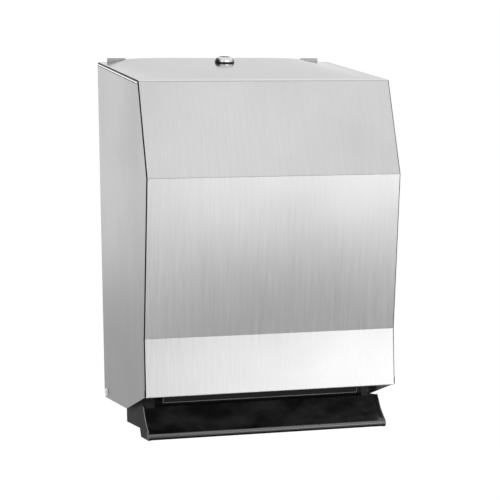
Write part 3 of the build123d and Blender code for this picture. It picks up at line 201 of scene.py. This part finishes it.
# %% A material and its patterns
class Finish(NodeTree):
    def __init__(self, name):
        super().__init__(bpy.data.materials.new(name), "ShaderNodeOutputMaterial")

    def place(self):
        return self.node("ShaderNodeTexCoord", output="Object")

    def stretched(self, scale):
        # object coordinates times a scale for each direction
        return self.node("ShaderNodeMapping", {"vector_type": "POINT"},
                         {"Vector": self.place(), "Scale": scale})

    def noise(self, vector, scale, detail, roughness=0.55):
        return self.node("ShaderNodeTexNoise", {"noise_dimensions": "3D"},
                         {"Vector": vector, "Scale": scale, "Detail": detail, "Roughness": roughness})

    def range(self, value, low, high, to_low=0.0, to_high=1.0):
        ends = {"From Min": low, "From Max": high, "To Min": to_low, "To Max": to_high}
        return self.node("ShaderNodeMapRange", {"clamp": True}, {"Value": value, **ends})

    def along(self, axis, vector):
        # one of a vector's three numbers
        return self.node("ShaderNodeSeparateXYZ", inputs={"Vector": vector}, output=axis)

    def facing(self, axis):
        # how far the surface faces along an axis, from -1 to 1
        return self.along(axis, self.node("ShaderNodeNewGeometry", output="Normal"))

    def from_level_line(self, middle):
        # how far a place is from the line that runs sideways through a point in the middle
        flat = self.node("ShaderNodeVectorMath", {"operation": "MULTIPLY"},
                         {0: self.place(), 1: (0.0, 1.0, 1.0)})
        return self.node("ShaderNodeVectorMath", {"operation": "DISTANCE"},
                         {0: flat, 1: middle}, output="Value")

    def bump(self, height, strength, distance):
        return self.node("ShaderNodeBump",
                         inputs={"Strength": strength, "Distance": distance, "Height": height})

    def gloss(self, **sockets):
        named = {key.replace("_", " "): value for key, value in sockets.items()}
        return self.node("ShaderNodeBsdfPrincipled", inputs=named)


def paint(colour, share=1.0):
    # one grey or colour, darker or lighter by a share, as the four numbers of a socket
    channels = (colour, colour, colour) if isinstance(colour, float) else colour
    return (*(min(1.0, channel * share) for channel in channels), 1.0)


print("half of white is", paint(1.0, 0.5))

# %% [markdown]
# ## Satin steel
# The cover is brushed stainless sheet. A belt sander leaves long fine scratches that run up
# the front and back over the top, and up the sides. They are far longer than they are wide,
# so the pattern is noise that is squeezed across the grain and drawn out along it. Noise
# needs no picture and never repeats. It varies the colour and the roughness a little, and
# lifts the surface by a few microns. Upright faces also smear a reflection sideways, across
# the scratches, and keep it sharp along them. The top is seen at a low angle, where the sheet
# is nearly a mirror. The inner faces of the side panels are painted dark, a painted shade for
# the shadowed inside of the case. A narrow strip along the fold between the top and the front
# is painted brighter, a painted highlight of the bent edge.

# %% Brushed sheet, with the grain along given directions
coarse_share = 0.35
coarse_size = 0.4
crest_reach = 0.0013
crest_fade = 0.0004
fold_highlight_gain = 2.6
painted_shade_fade = 0.0002
painted_shade_tone = 0.07


def brushed_steel(name, tone, grain_scale, contrast, roughness, smear, crest=None, painted_shade_within=None):
    steel = Finish(name)
    wide_scale = tuple(scale * coarse_size for scale in grain_scale)
    fine = steel.noise(steel.stretched(grain_scale), scale=1.0, detail=4.0, roughness=0.7)
    coarse = steel.noise(steel.stretched(wide_scale), scale=1.0, detail=2.0)
    cloud = steel.noise(steel.place(), scale=9.0, detail=3.0)
    grain = fine * (1 - coarse_share) + coarse * coarse_share
    colour = steel.blend(steel.range(grain, 0.3, 0.7), paint(tone, 1 - contrast), paint(tone, 1 + contrast))
    if crest:
        # a narrow strip along the fold is painted brighter: a painted highlight
        painted_highlight = steel.range(steel.from_level_line(crest), crest_reach, crest_reach + crest_fade, 1.0, 0.0)
        colour = steel.blend(painted_highlight, colour, paint(tone, fold_highlight_gain))
    # inside the panels' outer faces the colour is painted dark: a painted shade of the case's inside
    if painted_shade_within:
        sideways = steel.sum("ABSOLUTE", steel.along("X", steel.place()), 0.0)
        outer = steel.range(sideways, painted_shade_within - painted_shade_fade, painted_shade_within)
        colour = steel.blend(outer, paint(painted_shade_tone), colour)
    scratches = steel.bump(grain, strength=0.10, distance=0.00006)
    sheet = {"Base_Color": colour, "Metallic": 1.0, "Normal": scratches}
    smudge = steel.range(cloud, 0.4, 0.7, 0.0, 0.03)
    rough = steel.range(grain, 0.25, 0.75, roughness - 0.04, roughness + 0.05) + smudge
    sharp = steel.range(grain, 0.25, 0.75, 0.08, 0.13)
    upright = steel.gloss(**sheet, Roughness=rough, Anisotropic=smear)
    level = steel.gloss(**sheet, Roughness=sharp)
    facing_up = steel.facing("Z")
    lying = steel.range(facing_up * facing_up, 0.3, 0.6)
    return steel.complete(steel.mix(lying, upright, level))


print("the polished strip is", 2 * crest_reach, "m wide")

# %% The wrap's grain runs over the top, and the panels' grain runs up the sides
top_fold = at(0.0, 195.3, 30.4)
panel_inner_x = 0.1370

wrap_steel = brushed_steel("satin_wrap_steel", 0.27, (700.0, 30.0, 30.0), contrast=0.11, roughness=0.30,
                           smear=0.85, crest=top_fold)
side_steel = brushed_steel("satin_side_steel", 0.24, (10.0, 900.0, 14.0), contrast=0.20, roughness=0.38,
                           smear=0.4, painted_shade_within=panel_inner_x)
print("steel finishes", wrap_steel.name, side_steel.name)

# %% [markdown]
# ## Powder coat
# The side frames, roll arms, yoke, paper guide and tear plate are powder coated. The powder
# melts into a thick, dull coat with a fine orange peel, and dust settles on it in patches.
# Two noises give both: a fine one lifts the surface, and a wide one lightens it and varies
# its roughness.

# %% Black powder coat
def powder_coat(name, tone, roughness):
    coat = Finish(name)
    peel = coat.noise(coat.place(), scale=900.0, detail=2.0)
    dust = coat.noise(coat.place(), scale=35.0, detail=4.0)
    colour = coat.blend(coat.range(dust, 0.45, 0.75), paint(tone), paint(tone, 1.8))
    rough = coat.range(dust, 0.35, 0.7, roughness - 0.05, roughness + 0.08)
    return coat.complete(coat.gloss(Base_Color=colour, Roughness=rough, Specular_IOR_Level=0.07,
                                    Normal=coat.bump(peel, strength=0.25, distance=0.0001)))


black_coat = powder_coat("black_powder_coat", tone=0.010, roughness=0.48)
print("coat", black_coat.name)

# %% [markdown]
# ## Moulded plastic
# Gears, bushes and spacers are moulded in natural nylon, and the roll's hubs and the feed
# roller's core in black. A moulding has an even colour with a little wear and the very fine
# texture of its mould. The same function later gives the black of the painted shadows in
# seams, cuts and recesses, and the grey of the painted highlights on edges, which only differ
# in tone and shine.

# %% Moulded plastic in any tone
skin_scale = 2200.0


def moulded(name, colour, roughness, mottle, shine=0.5):
    plastic = Finish(name)
    skin = plastic.noise(plastic.place(), scale=skin_scale, detail=2.0)
    wear = plastic.noise(plastic.place(), scale=22.0, detail=4.0)
    tone = plastic.blend(plastic.range(wear, 0.35, 0.7), paint(colour, 1 - mottle), paint(colour, 1 + mottle))
    rough = plastic.range(wear, 0.3, 0.7, roughness - 0.05, roughness + 0.07)
    return plastic.complete(plastic.gloss(Base_Color=tone, Roughness=rough, Specular_IOR_Level=shine,
                                          Normal=plastic.bump(skin, strength=0.12, distance=0.00004)))


natural_nylon = moulded("natural_nylon", (0.78, 0.76, 0.70), roughness=0.38, mottle=0.03)
black_nylon = moulded("black_nylon", 0.022, roughness=0.45, mottle=0.12)
print("nylon", natural_nylon.name, black_nylon.name)

# %% [markdown]
# ## The lever's black
# The lever is matt moulded black. Hands push it by the round bead along its lower edge and
# rub that smooth, so the bead has a thin coat of shine that fades with the distance from its
# middle line. The outer sides of its end walls are painted a lighter matt grey, a painted
# sheen, and its underside is matt black. They are told apart by the way they face, so that
# one material does for the whole lever.

# %% Black with a rubbed bead, a painted sheen on the sides and a dull underside
bead_middle = at(0.0, 184.0, 399.5)
bead_reach = 0.0044
bead_fade = 0.0016


def handled_lever(name):
    lever = Finish(name)
    skin = lever.noise(lever.place(), scale=skin_scale, detail=2.0)
    wear = lever.noise(lever.stretched((26.0, 40.0, 40.0)), scale=1.0, detail=4.0)
    from_bead = lever.from_level_line(bead_middle)
    rubbed_bead = lever.range(from_bead, bead_reach, bead_reach + bead_fade, 1.0, 0.0)
    sheen = lever.gloss(Base_Color=lever.blend(lever.range(wear, 0.42, 0.62), paint(0.005), paint(0.024)),
                        Roughness=lever.range(wear, 0.3, 0.7, 0.38, 0.50) - rubbed_bead * 0.20,
                        Coat_Weight=rubbed_bead, Coat_Roughness=0.18, Specular_IOR_Level=0.22,
                        Normal=lever.bump(skin, strength=0.12, distance=0.00004))
    sideways = lever.facing("X")
    side = lever.range(sideways * sideways, 0.6, 0.9, 0.0, 0.78)
    under = lever.range(lever.facing("Z"), -0.10, -0.50)
    # the end walls' lighter grey is a painted sheen
    side_painted_sheen_tone = lever.blend(lever.range(wear, 0.4, 0.7), paint(0.045), paint(0.075))
    matt_with_side_sheen_paint = lever.gloss(Base_Color=lever.blend(under, side_painted_sheen_tone, paint(0.012)), Roughness=0.9,
                       Specular_IOR_Level=0.0)
    return lever.complete(lever.mix(lever.sum("MAXIMUM", side, under), sheen, matt_with_side_sheen_paint))


lever_black = handled_lever("lever_black")
print("lever", lever_black.name)

# %% [markdown]
# ## Plated sheet
# The wall plate, the tie rod, the screws and the lock's inner parts are zinc plated, and the
# rivets are brighter. Plating shows a faint spangle and a veil of handling. A fine noise
# shades the metal for the first, and a wide one varies the roughness for the second.

# %% Zinc and bright plating
def plated(name, colour, roughness, spangle):
    metal = Finish(name)
    patch = metal.noise(metal.place(), scale=spangle, detail=3.0)
    veil = metal.noise(metal.place(), scale=26.0, detail=3.0)
    tone = metal.blend(metal.range(patch, 0.35, 0.68), paint(colour, 0.86), paint(colour))
    rough = metal.range(veil, 0.3, 0.7, roughness - 0.05, roughness + 0.1)
    return metal.complete(metal.gloss(Base_Color=tone, Metallic=1.0, Roughness=rough,
                                      Normal=metal.bump(patch, strength=0.08, distance=0.00005)))


zinc = plated("zinc_plate", (0.36, 0.363, 0.37), roughness=0.55, spangle=300.0)
rivet_metal = plated("bright_rivet", 0.62, roughness=0.16, spangle=120.0)
print("plating", zinc.name, rivet_metal.name)

# %% [markdown]
# ## Turned steel
# The shafts and pins are turned and ground, and the springs and snap rings are spring wire.
# Turning leaves fine rings that change along the axis and hardly round it. All shafts run
# across the dispenser, so the noise is squeezed in that direction.

# %% Shafts and spring wire
def turned(name, tone, roughness):
    metal = Finish(name)
    rings = metal.noise(metal.stretched((2600.0, 6.0, 6.0)), scale=1.0, detail=2.0)
    colour = metal.blend(metal.range(rings, 0.3, 0.7), paint(tone, 0.88), paint(tone))
    rough = metal.range(rings, 0.3, 0.7, roughness, roughness + 0.1)
    return metal.complete(metal.gloss(Base_Color=colour, Metallic=1.0, Roughness=rough,
                                      Normal=metal.bump(rings, strength=0.1, distance=0.00004)))


shaft_steel = turned("ground_shaft_steel", tone=0.62, roughness=0.22)
spring_wire = turned("drawn_spring_wire", tone=0.5, roughness=0.3)
print("turned steel", shaft_steel.name, spring_wire.name)

# %% [markdown]
# ## Ground rubber
# The rollers' sleeves are rubber, ground round after moulding. That leaves a gritty, matt
# surface that the towel wears lighter in patches. A very fine noise is the grit, and a wider
# one is the wear.

# %% Rubber sleeves
def ground_rubber(name):
    rubber = Finish(name)
    grit = rubber.noise(rubber.place(), scale=1600.0, detail=4.0, roughness=0.7)
    worn = rubber.noise(rubber.stretched((30.0, 60.0, 60.0)), scale=1.0, detail=3.0)
    colour = rubber.blend(rubber.range(worn, 0.4, 0.7), paint(0.055), paint(0.085))
    return rubber.complete(rubber.gloss(Base_Color=colour, Roughness=rubber.range(grit, 0.3, 0.7, 0.72, 0.9),
                                        Normal=rubber.bump(grit, strength=0.3, distance=0.0002)))


sleeve_rubber = ground_rubber("ground_rubber")
print("rubber", sleeve_rubber.name)

# %% [markdown]
# ## The lock's chrome
# The lock's head is a polished dome. Its colour is painted bright on the crown and dark where
# the dome turns down to its rim and to its sides, a painted highlight and painted shade. The
# way that the surface faces gives both, so the shading stays on the dome from every side.

# %% Painted bright crown, painted dark rim
def polished_dome(name):
    chrome = Finish(name)
    sideways = chrome.facing("X")
    painted_crown_light = chrome.range(chrome.facing("Z"), 0.06, 0.22)
    middle = chrome.range(sideways * sideways, 0.50, 0.20)
    film = chrome.noise(chrome.place(), scale=60.0, detail=3.0)
    return chrome.complete(chrome.gloss(Base_Color=chrome.blend(painted_crown_light * middle, paint(0.02), paint(0.72)),
                                        Metallic=1.0, Roughness=chrome.range(film, 0.3, 0.7, 0.06, 0.12)))


lock_chrome = polished_dome("chrome_plate")
print("chrome", lock_chrome.name)

# %% [markdown]
# ## The tear blade
# The blade is a blackened steel strip. Its teeth are ground after blackening and are a
# little lighter. They are the lowest part of the strip, so the height alone tells them apart.

# %% Black strip, lighter teeth
teeth_root_z = -0.1872
teeth_bare_z = -0.1880


def ground_blade(name):
    blade = Finish(name)
    ground = blade.range(blade.along("Z", blade.place()), teeth_root_z, teeth_bare_z)
    scratch = blade.noise(blade.stretched((1800.0, 60.0, 60.0)), scale=1.0, detail=2.0)
    return blade.complete(blade.gloss(Base_Color=blade.blend(ground, paint(0.020), paint(0.05)), Metallic=1.0,
                                      Roughness=blade.range(scratch, 0.3, 0.7, 0.28, 0.42)))


blade_steel = ground_blade("ground_blade_steel")
print("blade", blade_steel.name)

# %% [markdown]
# ## Dressing the frame
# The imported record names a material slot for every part. A table turns each slot into one of
# the finishes above. The two side panels share a slot with the wrap, but their grain runs
# another way, so they are named apart.

# %% Give each part of the frame its finish
slot_finish = {
    "satin_steel": wrap_steel,
    "black_paint": black_coat,
    "black_lever": lever_black,
    "zinc_plate": zinc,
    "chrome_plate": lock_chrome,
    "bright_rivet": rivet_metal,
    "shaft_steel": shaft_steel,
    "spring_steel": spring_wire,
    "blade_steel": blade_steel,
    "white_nylon": natural_nylon,
    "black_nylon": black_nylon,
    "grey_rubber": sleeve_rubber,
}
part_slots = {part["node"]: part["material_slot"] for part in frame["record"]["subparts"]}
own_finish = {"left_side_panel": side_steel, "right_side_panel": side_steel}
for name, part in nodes.items():
    finish = own_finish.get(name, slot_finish[part_slots[name]])
    if not part.material_slots:
        part.data.materials.append(finish)
    for slot in part.material_slots:
        slot.material = finish
print("dressed", len(nodes), "parts in", len(slot_finish), "slots")

# %% [markdown]
# ## Details that follow a line
# Seams, open cuts, rolled edges and light edges are all thin lines on this case. Here they are
# painted shadows and painted highlights, each made as a round bead along a line. A curve with
# a bevel could do it, but one node tree does it for all of them: it turns the edges of a small
# mesh into a bead, rounds its corners and gives it a finish. What the tree makes is then kept
# as a plain mesh, because the packed model has plain meshes only.

# %% The start and the end of a node tree
def start_tree(name, sizes):
    # a tree whose named inputs are a mesh, some sizes and a finish
    tree = bpy.data.node_groups.new(name, "GeometryNodeTree")
    tree.interface.new_socket("Geometry", in_out="INPUT", socket_type="NodeSocketGeometry")
    inputs = [tree.interface.new_socket(size, in_out="INPUT", socket_type="NodeSocketFloat")
              for size in sizes]
    inputs.append(tree.interface.new_socket("Finish", in_out="INPUT", socket_type="NodeSocketMaterial"))
    tree.interface.new_socket("Geometry", in_out="OUTPUT", socket_type="NodeSocketGeometry")
    return tree, tree.nodes.new("NodeGroupInput"), [socket.identifier for socket in inputs]


def end_tree(tree, start, shape, links):
    # copies become real geometry, and then they get their finish
    real = tree.nodes.new("GeometryNodeRealizeInstances")
    dressed = tree.nodes.new("GeometryNodeSetMaterial")
    end = tree.nodes.new("NodeGroupOutput")
    links += [(shape, real.inputs["Geometry"]),
              (real.outputs["Geometry"], dressed.inputs["Geometry"]),
              (start.outputs["Finish"], dressed.inputs["Material"]),
              (dressed.outputs["Geometry"], end.inputs["Geometry"])]
    for first, second in links:
        tree.links.new(first, second)
    print(tree.name, len(tree.nodes), "nodes")


# %% The tree that grows a bead along edges
corner_steps = 5
bead_sides = 10

bead_nodes, start, bead_sockets = start_tree("bead_along_edges", ("Bead Radius", "Corner Radius"))
line, round_off, ring, sweep = [bead_nodes.nodes.new(kind) for kind in (
    "GeometryNodeMeshToCurve", "GeometryNodeFilletCurve", "GeometryNodeCurvePrimitiveCircle",
    "GeometryNodeCurveToMesh")]
round_off.mode = "POLY"
round_off.inputs["Count"].default_value = corner_steps
ring.inputs["Resolution"].default_value = bead_sides
sweep.inputs["Fill Caps"].default_value = True
end_tree(bead_nodes, start, sweep.outputs["Mesh"], [
    (start.outputs["Geometry"], line.inputs["Mesh"]),
    (line.outputs["Curve"], round_off.inputs["Curve"]),
    (start.outputs["Corner Radius"], round_off.inputs["Radius"]),
    (start.outputs["Bead Radius"], ring.inputs["Radius"]),
    (round_off.outputs["Curve"], sweep.inputs["Curve"]),
    (ring.outputs["Curve"], sweep.inputs["Profile Curve"])])


# %% A plain piece from a tree
def plain_piece(name, mesh, body):
    piece = add(name, mesh)
    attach(piece, body)
    print(name, len(mesh.polygons), "faces on", body)


def grow(name, points, edges, tree, settings):
    # the mesh that a node tree makes from a few points and edges
    seed = bpy.data.meshes.new(name)
    seed.from_pydata(points, edges, [])
    seed_object = add(name, seed)
    modifier = seed_object.modifiers.new("grow", "NODES")
    modifier.node_group = tree
    for socket, value in settings.items():
        modifier[socket] = value
    seed_object.update_tag()
    ready = seed_object.evaluated_get(bpy.context.evaluated_depsgraph_get())
    mesh = bpy.data.meshes.new_from_object(ready)
    seed_object.modifiers.clear()
    bpy.data.objects.remove(seed_object)
    return mesh


def bead(name, lines, radius, corner, finish, body):
    points = []
    edges = []
    for line in lines:
        edges += [(len(points) + step, len(points) + step + 1) for step in range(len(line) - 1)]
        points += line
    settings = dict(zip(bead_sockets, (radius, corner, finish)))
    mesh = grow(name, points, edges, bead_nodes, settings)
    for face in mesh.polygons:
        face.use_smooth = True
    plain_piece(name, mesh, body)


def both_sides(x, outline):
    # the same line on the left and on the right
    return [[at(side * x, *place) for place in outline] for side in (-1, 1)]


print("a bead has", bead_sides, "sides")

# %% [markdown]
# ## The seams beside the folded sheet
# The cover's sheet is folded round two side panels, and a dark line of shade shows in the gap
# where they meet, from the rear of the top, over each fold, down to the end of the lower band.
# The packed meshes stay as they are, so a thin dull black bead lies along that corner, a
# painted shadow of the gap.

# %% The seams
gap_shadow_black = moulded("seam_shadow_black", 0.006, roughness=0.7, mottle=0.1, shine=0.1)
seam_x = 136.95
seam_radius = 0.0006
seam_corner = 0.0016
fold = [(2.0, 0.9), (195.6, 31.3), (226.3, 131.2), (199.8, 296.3), (199.8, 355.6)]
bead("cover_seam_shadows", both_sides(seam_x, fold), seam_radius, seam_corner, gap_shadow_black, "cover")

# %% [markdown]
# ## The relief cuts
# Each side panel's flange ends in a small open cut, which lets the sheet bend there without
# tearing. It shows as a dark notch of shade at the foot of the seam. A short, thicker bead of
# the same black, a painted shadow, makes the seam's end as wide as the cut.

# %% The painted shadow of the open cut at the foot of each seam
cut_x = 136.75
cut_radius = 0.0012
cut = [(199.6, 348.6), (199.6, 356.0)]
bead("relief_cut_shadows", both_sides(cut_x, cut), cut_radius, 0.0, gap_shadow_black, "cover")

# %% [markdown]
# ## The rolled top edge of the side panels
# The flange along each panel's top turns in with a small radius. It catches the light as a
# fine bright line, and a darker one lies below it. Both are about a millimetre wide, so two
# beads draw them: a painted highlight of steel far brighter than the panel's, and a painted
# shadow in the seams' black.

# %% The bright line and its shadow
shadow_x = 137.3
shadow_radius = 0.0004
shadow = [(2.0, 3.4), (194.0, 33.8)]
bead("panel_edge_shadows", both_sides(shadow_x, shadow), shadow_radius, 0.0, gap_shadow_black, "cover")

roll_highlight_steel = plated("rolled_edge_steel", 0.80, roughness=0.4, spangle=200.0)
roll_x = 137.2
roll_radius = 0.0006
roll = [(2.0, 2.3), (194.4, 32.7)]
bead("panel_rolled_edge_highlights", both_sides(roll_x, roll), roll_radius, 0.0, roll_highlight_steel, "cover")

# %% [markdown]
# ## The light rim of the tear plate
# A black plate between the cover and the lever carries the tear blade. The towel is pulled
# over its foot, and a light line runs along it, which turns up a little at both ends: a
# painted highlight of that edge. The plate slopes, so the foot's place is read from its
# imported mesh: the foremost and the lowest of its lowest points.

# %% The light line along the plate's foot
foot_top_z = -0.186
rim_x = 0.1085
rim_rise = 0.0045
rim_radius = 0.0003
rim_corner = 0.0005

plate = nodes["tear_plate"]
plate_places = [plate.matrix_world @ vertex.co for vertex in plate.data.vertices]
foot_places = [place for place in plate_places if place.z < foot_top_z]
rim_y = min(place.y for place in foot_places)
rim_z = min(place.z for place in foot_places) + rim_radius
print("rim at", round(rim_y, 4), round(rim_z, 4))
rim = [Vector((-rim_x, rim_y, rim_z + rim_rise)), Vector((-rim_x, rim_y, rim_z)),
       Vector((rim_x, rim_y, rim_z)), Vector((rim_x, rim_y, rim_z + rim_rise))]
# the light grey of this bead is a painted highlight
strip_edge = moulded("rubbed_strip_edge", 0.20, roughness=0.4, mottle=0.2)
bead("tear_strip_rim", [rim], rim_radius, rim_corner, strip_edge, "wall")

# %% [markdown]
# ## The light edges of the lever
# The lever's two end walls curve down to its bead. Their front edges catch the light as a thin
# lighter line, so a thin bead of lighter grey, a painted highlight, follows each of them. Five
# points on the wall's outline are enough, because the node tree rounds the corners between them.

# %% A line along each end wall
wall_edge_x = 131.15
edge_radius = 0.00045
edge_corner = 0.002
wall_edge = [(163.2, 370.6), (168.0, 377.6), (173.0, 384.9), (179.4, 391.2), (186.0, 395.7)]
edge_highlight_grey = moulded("rubbed_lever_edge", 0.30, roughness=0.35, mottle=0.2)
bead("lever_edge_highlights", both_sides(wall_edge_x, wall_edge), edge_radius, edge_corner, edge_highlight_grey, "lever")

# %% [markdown]
# ## The lip on the lever's left wall
# Above the face, the left end wall has a lip turned inwards. It closes the view past the tear
# plate's end, where the photograph is black. A lip is a flat outline carried sideways, so a
# short function makes it from four corners.

# %% The lip and its foot
def prism(name, outline, x_from, x_to):
    mesh = bpy.data.meshes.new(name)
    count = len(outline)
    points = [at(x, *place) for x in (x_from, x_to) for place in outline]
    ends = [tuple(range(count)), tuple(range(2 * count - 1, count - 1, -1))]
    walls = [(here, here + count, (here + 1) % count + count, (here + 1) % count) for here in range(count)]
    mesh.from_pydata(points, [], ends + walls)
    shape = bmesh.new()
    shape.from_mesh(mesh)
    bmesh.ops.recalc_face_normals(shape, faces=shape.faces)
    shape.to_mesh(mesh)
    shape.free()
    mesh.materials.append(lever_black)
    plain_piece(name, mesh, "lever")


wall_x = -128.6
lip_inner_x = -121.9
foot_outer_x = -122.0
foot_inner_x = -118.6
lip = [(163.0, 372.4), (153.2, 337.2), (151.1, 337.8), (160.6, 372.6)]
foot = [(163.0, 372.4), (160.0, 361.8), (157.7, 361.8), (160.6, 372.6)]
prism("lever_wall_lip", lip, wall_x, lip_inner_x)
prism("lever_lip_foot", foot, foot_outer_x, foot_inner_x)

# %% [markdown]
# ## The springs
# Each spring lies between two bodies. One leg stays with the frame, and the other follows the
# arm, the yoke or the lever. An imported mesh is loose triangles, so a copy of each spring is
# joined at its seams and shaded smooth, and the imported spring is hidden.

# %% A smooth copy of a spring
merge_distance = 0.000002
sharp_angle = math.radians(40)


def flexing_spring(node):
    mesh = nodes[node].data.copy()
    mesh.transform(nodes[node].matrix_world)
    shape = bmesh.new()
    shape.from_mesh(mesh)
    bmesh.ops.remove_doubles(shape, verts=shape.verts, dist=merge_distance)
    shape.to_mesh(mesh)
    shape.free()
    for face in mesh.polygons:
        face.use_smooth = True
    mesh.set_sharp_from_angle(angle=sharp_angle)
    piece = add(node + "_flexing", mesh)
    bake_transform(piece)
    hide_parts(node)
    print(piece.name, len(mesh.polygons), "faces")


# %% The springs of the arms, the yoke and the lever
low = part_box("left_arm_spring")[0]
for name, side in (("left", -1), ("right", 1)):
    flexing_spring(name + "_arm_spring")

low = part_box("yoke_spring")[0]
flexing_spring("yoke_spring")

low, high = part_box("lever_return_spring")
flexing_spring("lever_return_spring")

# %% [markdown]
# ## Cross recesses in the screws
# The screws that hold the tear plate, the guide and the gear have cross recesses. The packed
# heads are plain, and a recess this small reads by its dark shape alone, so a thin dark cross
# of two blocks lies on each head, a painted shade for the hollow of the recess. A node tree
# sets one cross on every point that it is given.

# %% The tree that sets a cross on every point
cross_thickness = 0.00006

cross_nodes, start, cross_sockets = start_tree("cross_on_points", ("Cross Length", "Cross Width"))
tall_size, wide_size, tall, wide, cross, place = [cross_nodes.nodes.new(kind) for kind in (
    "ShaderNodeCombineXYZ", "ShaderNodeCombineXYZ", "GeometryNodeMeshCube", "GeometryNodeMeshCube",
    "GeometryNodeJoinGeometry", "GeometryNodeInstanceOnPoints")]
for size in (tall_size, wide_size):
    size.inputs["X"].default_value = cross_thickness
end_tree(cross_nodes, start, place.outputs["Instances"], [
    (start.outputs["Cross Length"], tall_size.inputs["Z"]),
    (start.outputs["Cross Width"], tall_size.inputs["Y"]),
    (start.outputs["Cross Width"], wide_size.inputs["Z"]),
    (start.outputs["Cross Length"], wide_size.inputs["Y"]),
    (tall_size.outputs[0], tall.inputs["Size"]),
    (wide_size.outputs[0], wide.inputs["Size"]),
    (tall.outputs["Mesh"], cross.inputs["Geometry"]),
    (wide.outputs["Mesh"], cross.inputs["Geometry"]),
    (start.outputs["Geometry"], place.inputs["Points"]),
    (cross.outputs["Geometry"], place.inputs["Instance"])])

# %% Crosses on the heads
cross_length = 0.0030
cross_width = 0.0006
head_radius = 0.003
recess_dark = moulded("recess_dark", 0.02, roughness=0.8, mottle=0.1)


def crosses(name, heads, body):
    settings = dict(zip(cross_sockets, (cross_length, cross_width, recess_dark)))
    plain_piece(name, grow(name, heads, [], cross_nodes, settings), body)


frame_heads = []
for node in ("tear_plate_screws", "guide_screws"):
    low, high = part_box(node)
    middle = (low + high) / 2
    frame_heads += [(x, middle.y, middle.z) for x in (low.x, high.x)]
crosses("frame_screw_crosses", frame_heads, "wall")

low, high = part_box("sector_screws")
gear_heads = [(high.x, low.y + head_radius, low.z + head_radius),
              (high.x, high.y - head_radius, high.z - head_radius)]
crosses("gear_screw_crosses", gear_heads, "lever")

# %% [markdown]
# ## Floor and world
# The photograph has a plain white ground. A large pale floor lies below the dispenser. The
# floor and the world are white where they are seen, straight or in metal. As a light on the
# dispenser they are weaker than that, so that the lamps can shade it. The light path tells
# the two uses apart.

# %% White where it is seen
def seen(shader):
    rays = shader.node("ShaderNodeLightPath", output="Is Camera Ray")
    for kind in ("Is Glossy Ray", "Is Transmission Ray"):
        rays = shader.sum("MAXIMUM", rays, shader.node("ShaderNodeLightPath", output=kind))
    return rays


floor_reach = 12.0
floor_z = -1.2
floor_tone = 0.84
floor_glow = 0.68

corners = [(-floor_reach, -floor_reach, floor_z), (floor_reach, -floor_reach, floor_z),
           (floor_reach, floor_reach, floor_z), (-floor_reach, floor_reach, floor_z)]
floor_mesh = bpy.data.meshes.new("floor")
floor_mesh.from_pydata(corners, [], [(0, 1, 2, 3)])
floor = add("floor", floor_mesh)
pale = Finish("pale_floor")
glow = pale.blend(seen(pale), paint(0.0), paint(1.0))
floor_mesh.materials.append(pale.complete(pale.gloss(
    Base_Color=paint(floor_tone), Roughness=1.0, Specular_IOR_Level=0.0,
    Emission_Color=glow, Emission_Strength=floor_glow)))
print("floor at", floor_z)

# %% The world
fill_strength = 0.40
studio = NodeTree(bpy.data.worlds.new("studio"), "ShaderNodeOutputWorld")
fill = studio.node("ShaderNodeBackground", inputs={"Color": paint(1.0), "Strength": fill_strength})
white = studio.node("ShaderNodeBackground", inputs={"Color": paint(1.0), "Strength": 1.0})
scene.world = studio.complete(studio.mix(seen(studio), fill, white))
print("world", scene.world.name)

# %% [markdown]
# ## The lamps
# Five soft lamps shade the case from plane to plane. Brushed steel takes its tone from what
# it mirrors, so each large lamp stands where one plane looks. The main front leans and
# mirrors a wide low one at the right. Past that lamp's end it darkens towards the left. The
# upper front mirrors the one high at the right, and the left side the one behind at the
# left. The other two only fill. A small lamp would show as a spot in the steel.

# %% Soft lamps
def soft_lamp(name, place, aim, size, power):
    data = bpy.data.lights.new(name, "AREA")
    data.shape = "RECTANGLE"
    data.size, data.size_y = size
    data.energy = power
    lamp = add(name, data)
    look = (Vector(aim) - Vector(place)).to_track_quat("-Z", "Y")
    lamp.matrix_world = Matrix.Translation(place) @ look.to_matrix().to_4x4()
    lamp.visible_camera = False
    print("lamp", name, power, "W")


soft_lamp("low_strip", place=(1.68, -2.3, -0.512), aim=(1.68, -0.2, -0.512), size=(2.3, 0.60), power=23.5)
soft_lamp("front_right", place=(0.75, -2.2, 1.55), aim=(0.0, -0.2, 0.1), size=(1.6, 1.0), power=12.0)
soft_lamp("front_fill", place=(0.9, -2.7, 0.45), aim=(0.0, -0.2, 0.0), size=(2.2, 1.2), power=10.0)
soft_lamp("front_left", place=(-2.0, -1.6, 1.3), aim=(0.0, -0.1, 0.0), size=(1.2, 1.2), power=3.0)
soft_lamp("rear_left", place=(-0.85, 1.9, 0.28), aim=(-0.1, -0.1, 0.1), size=(1.2, 0.93), power=4.4)
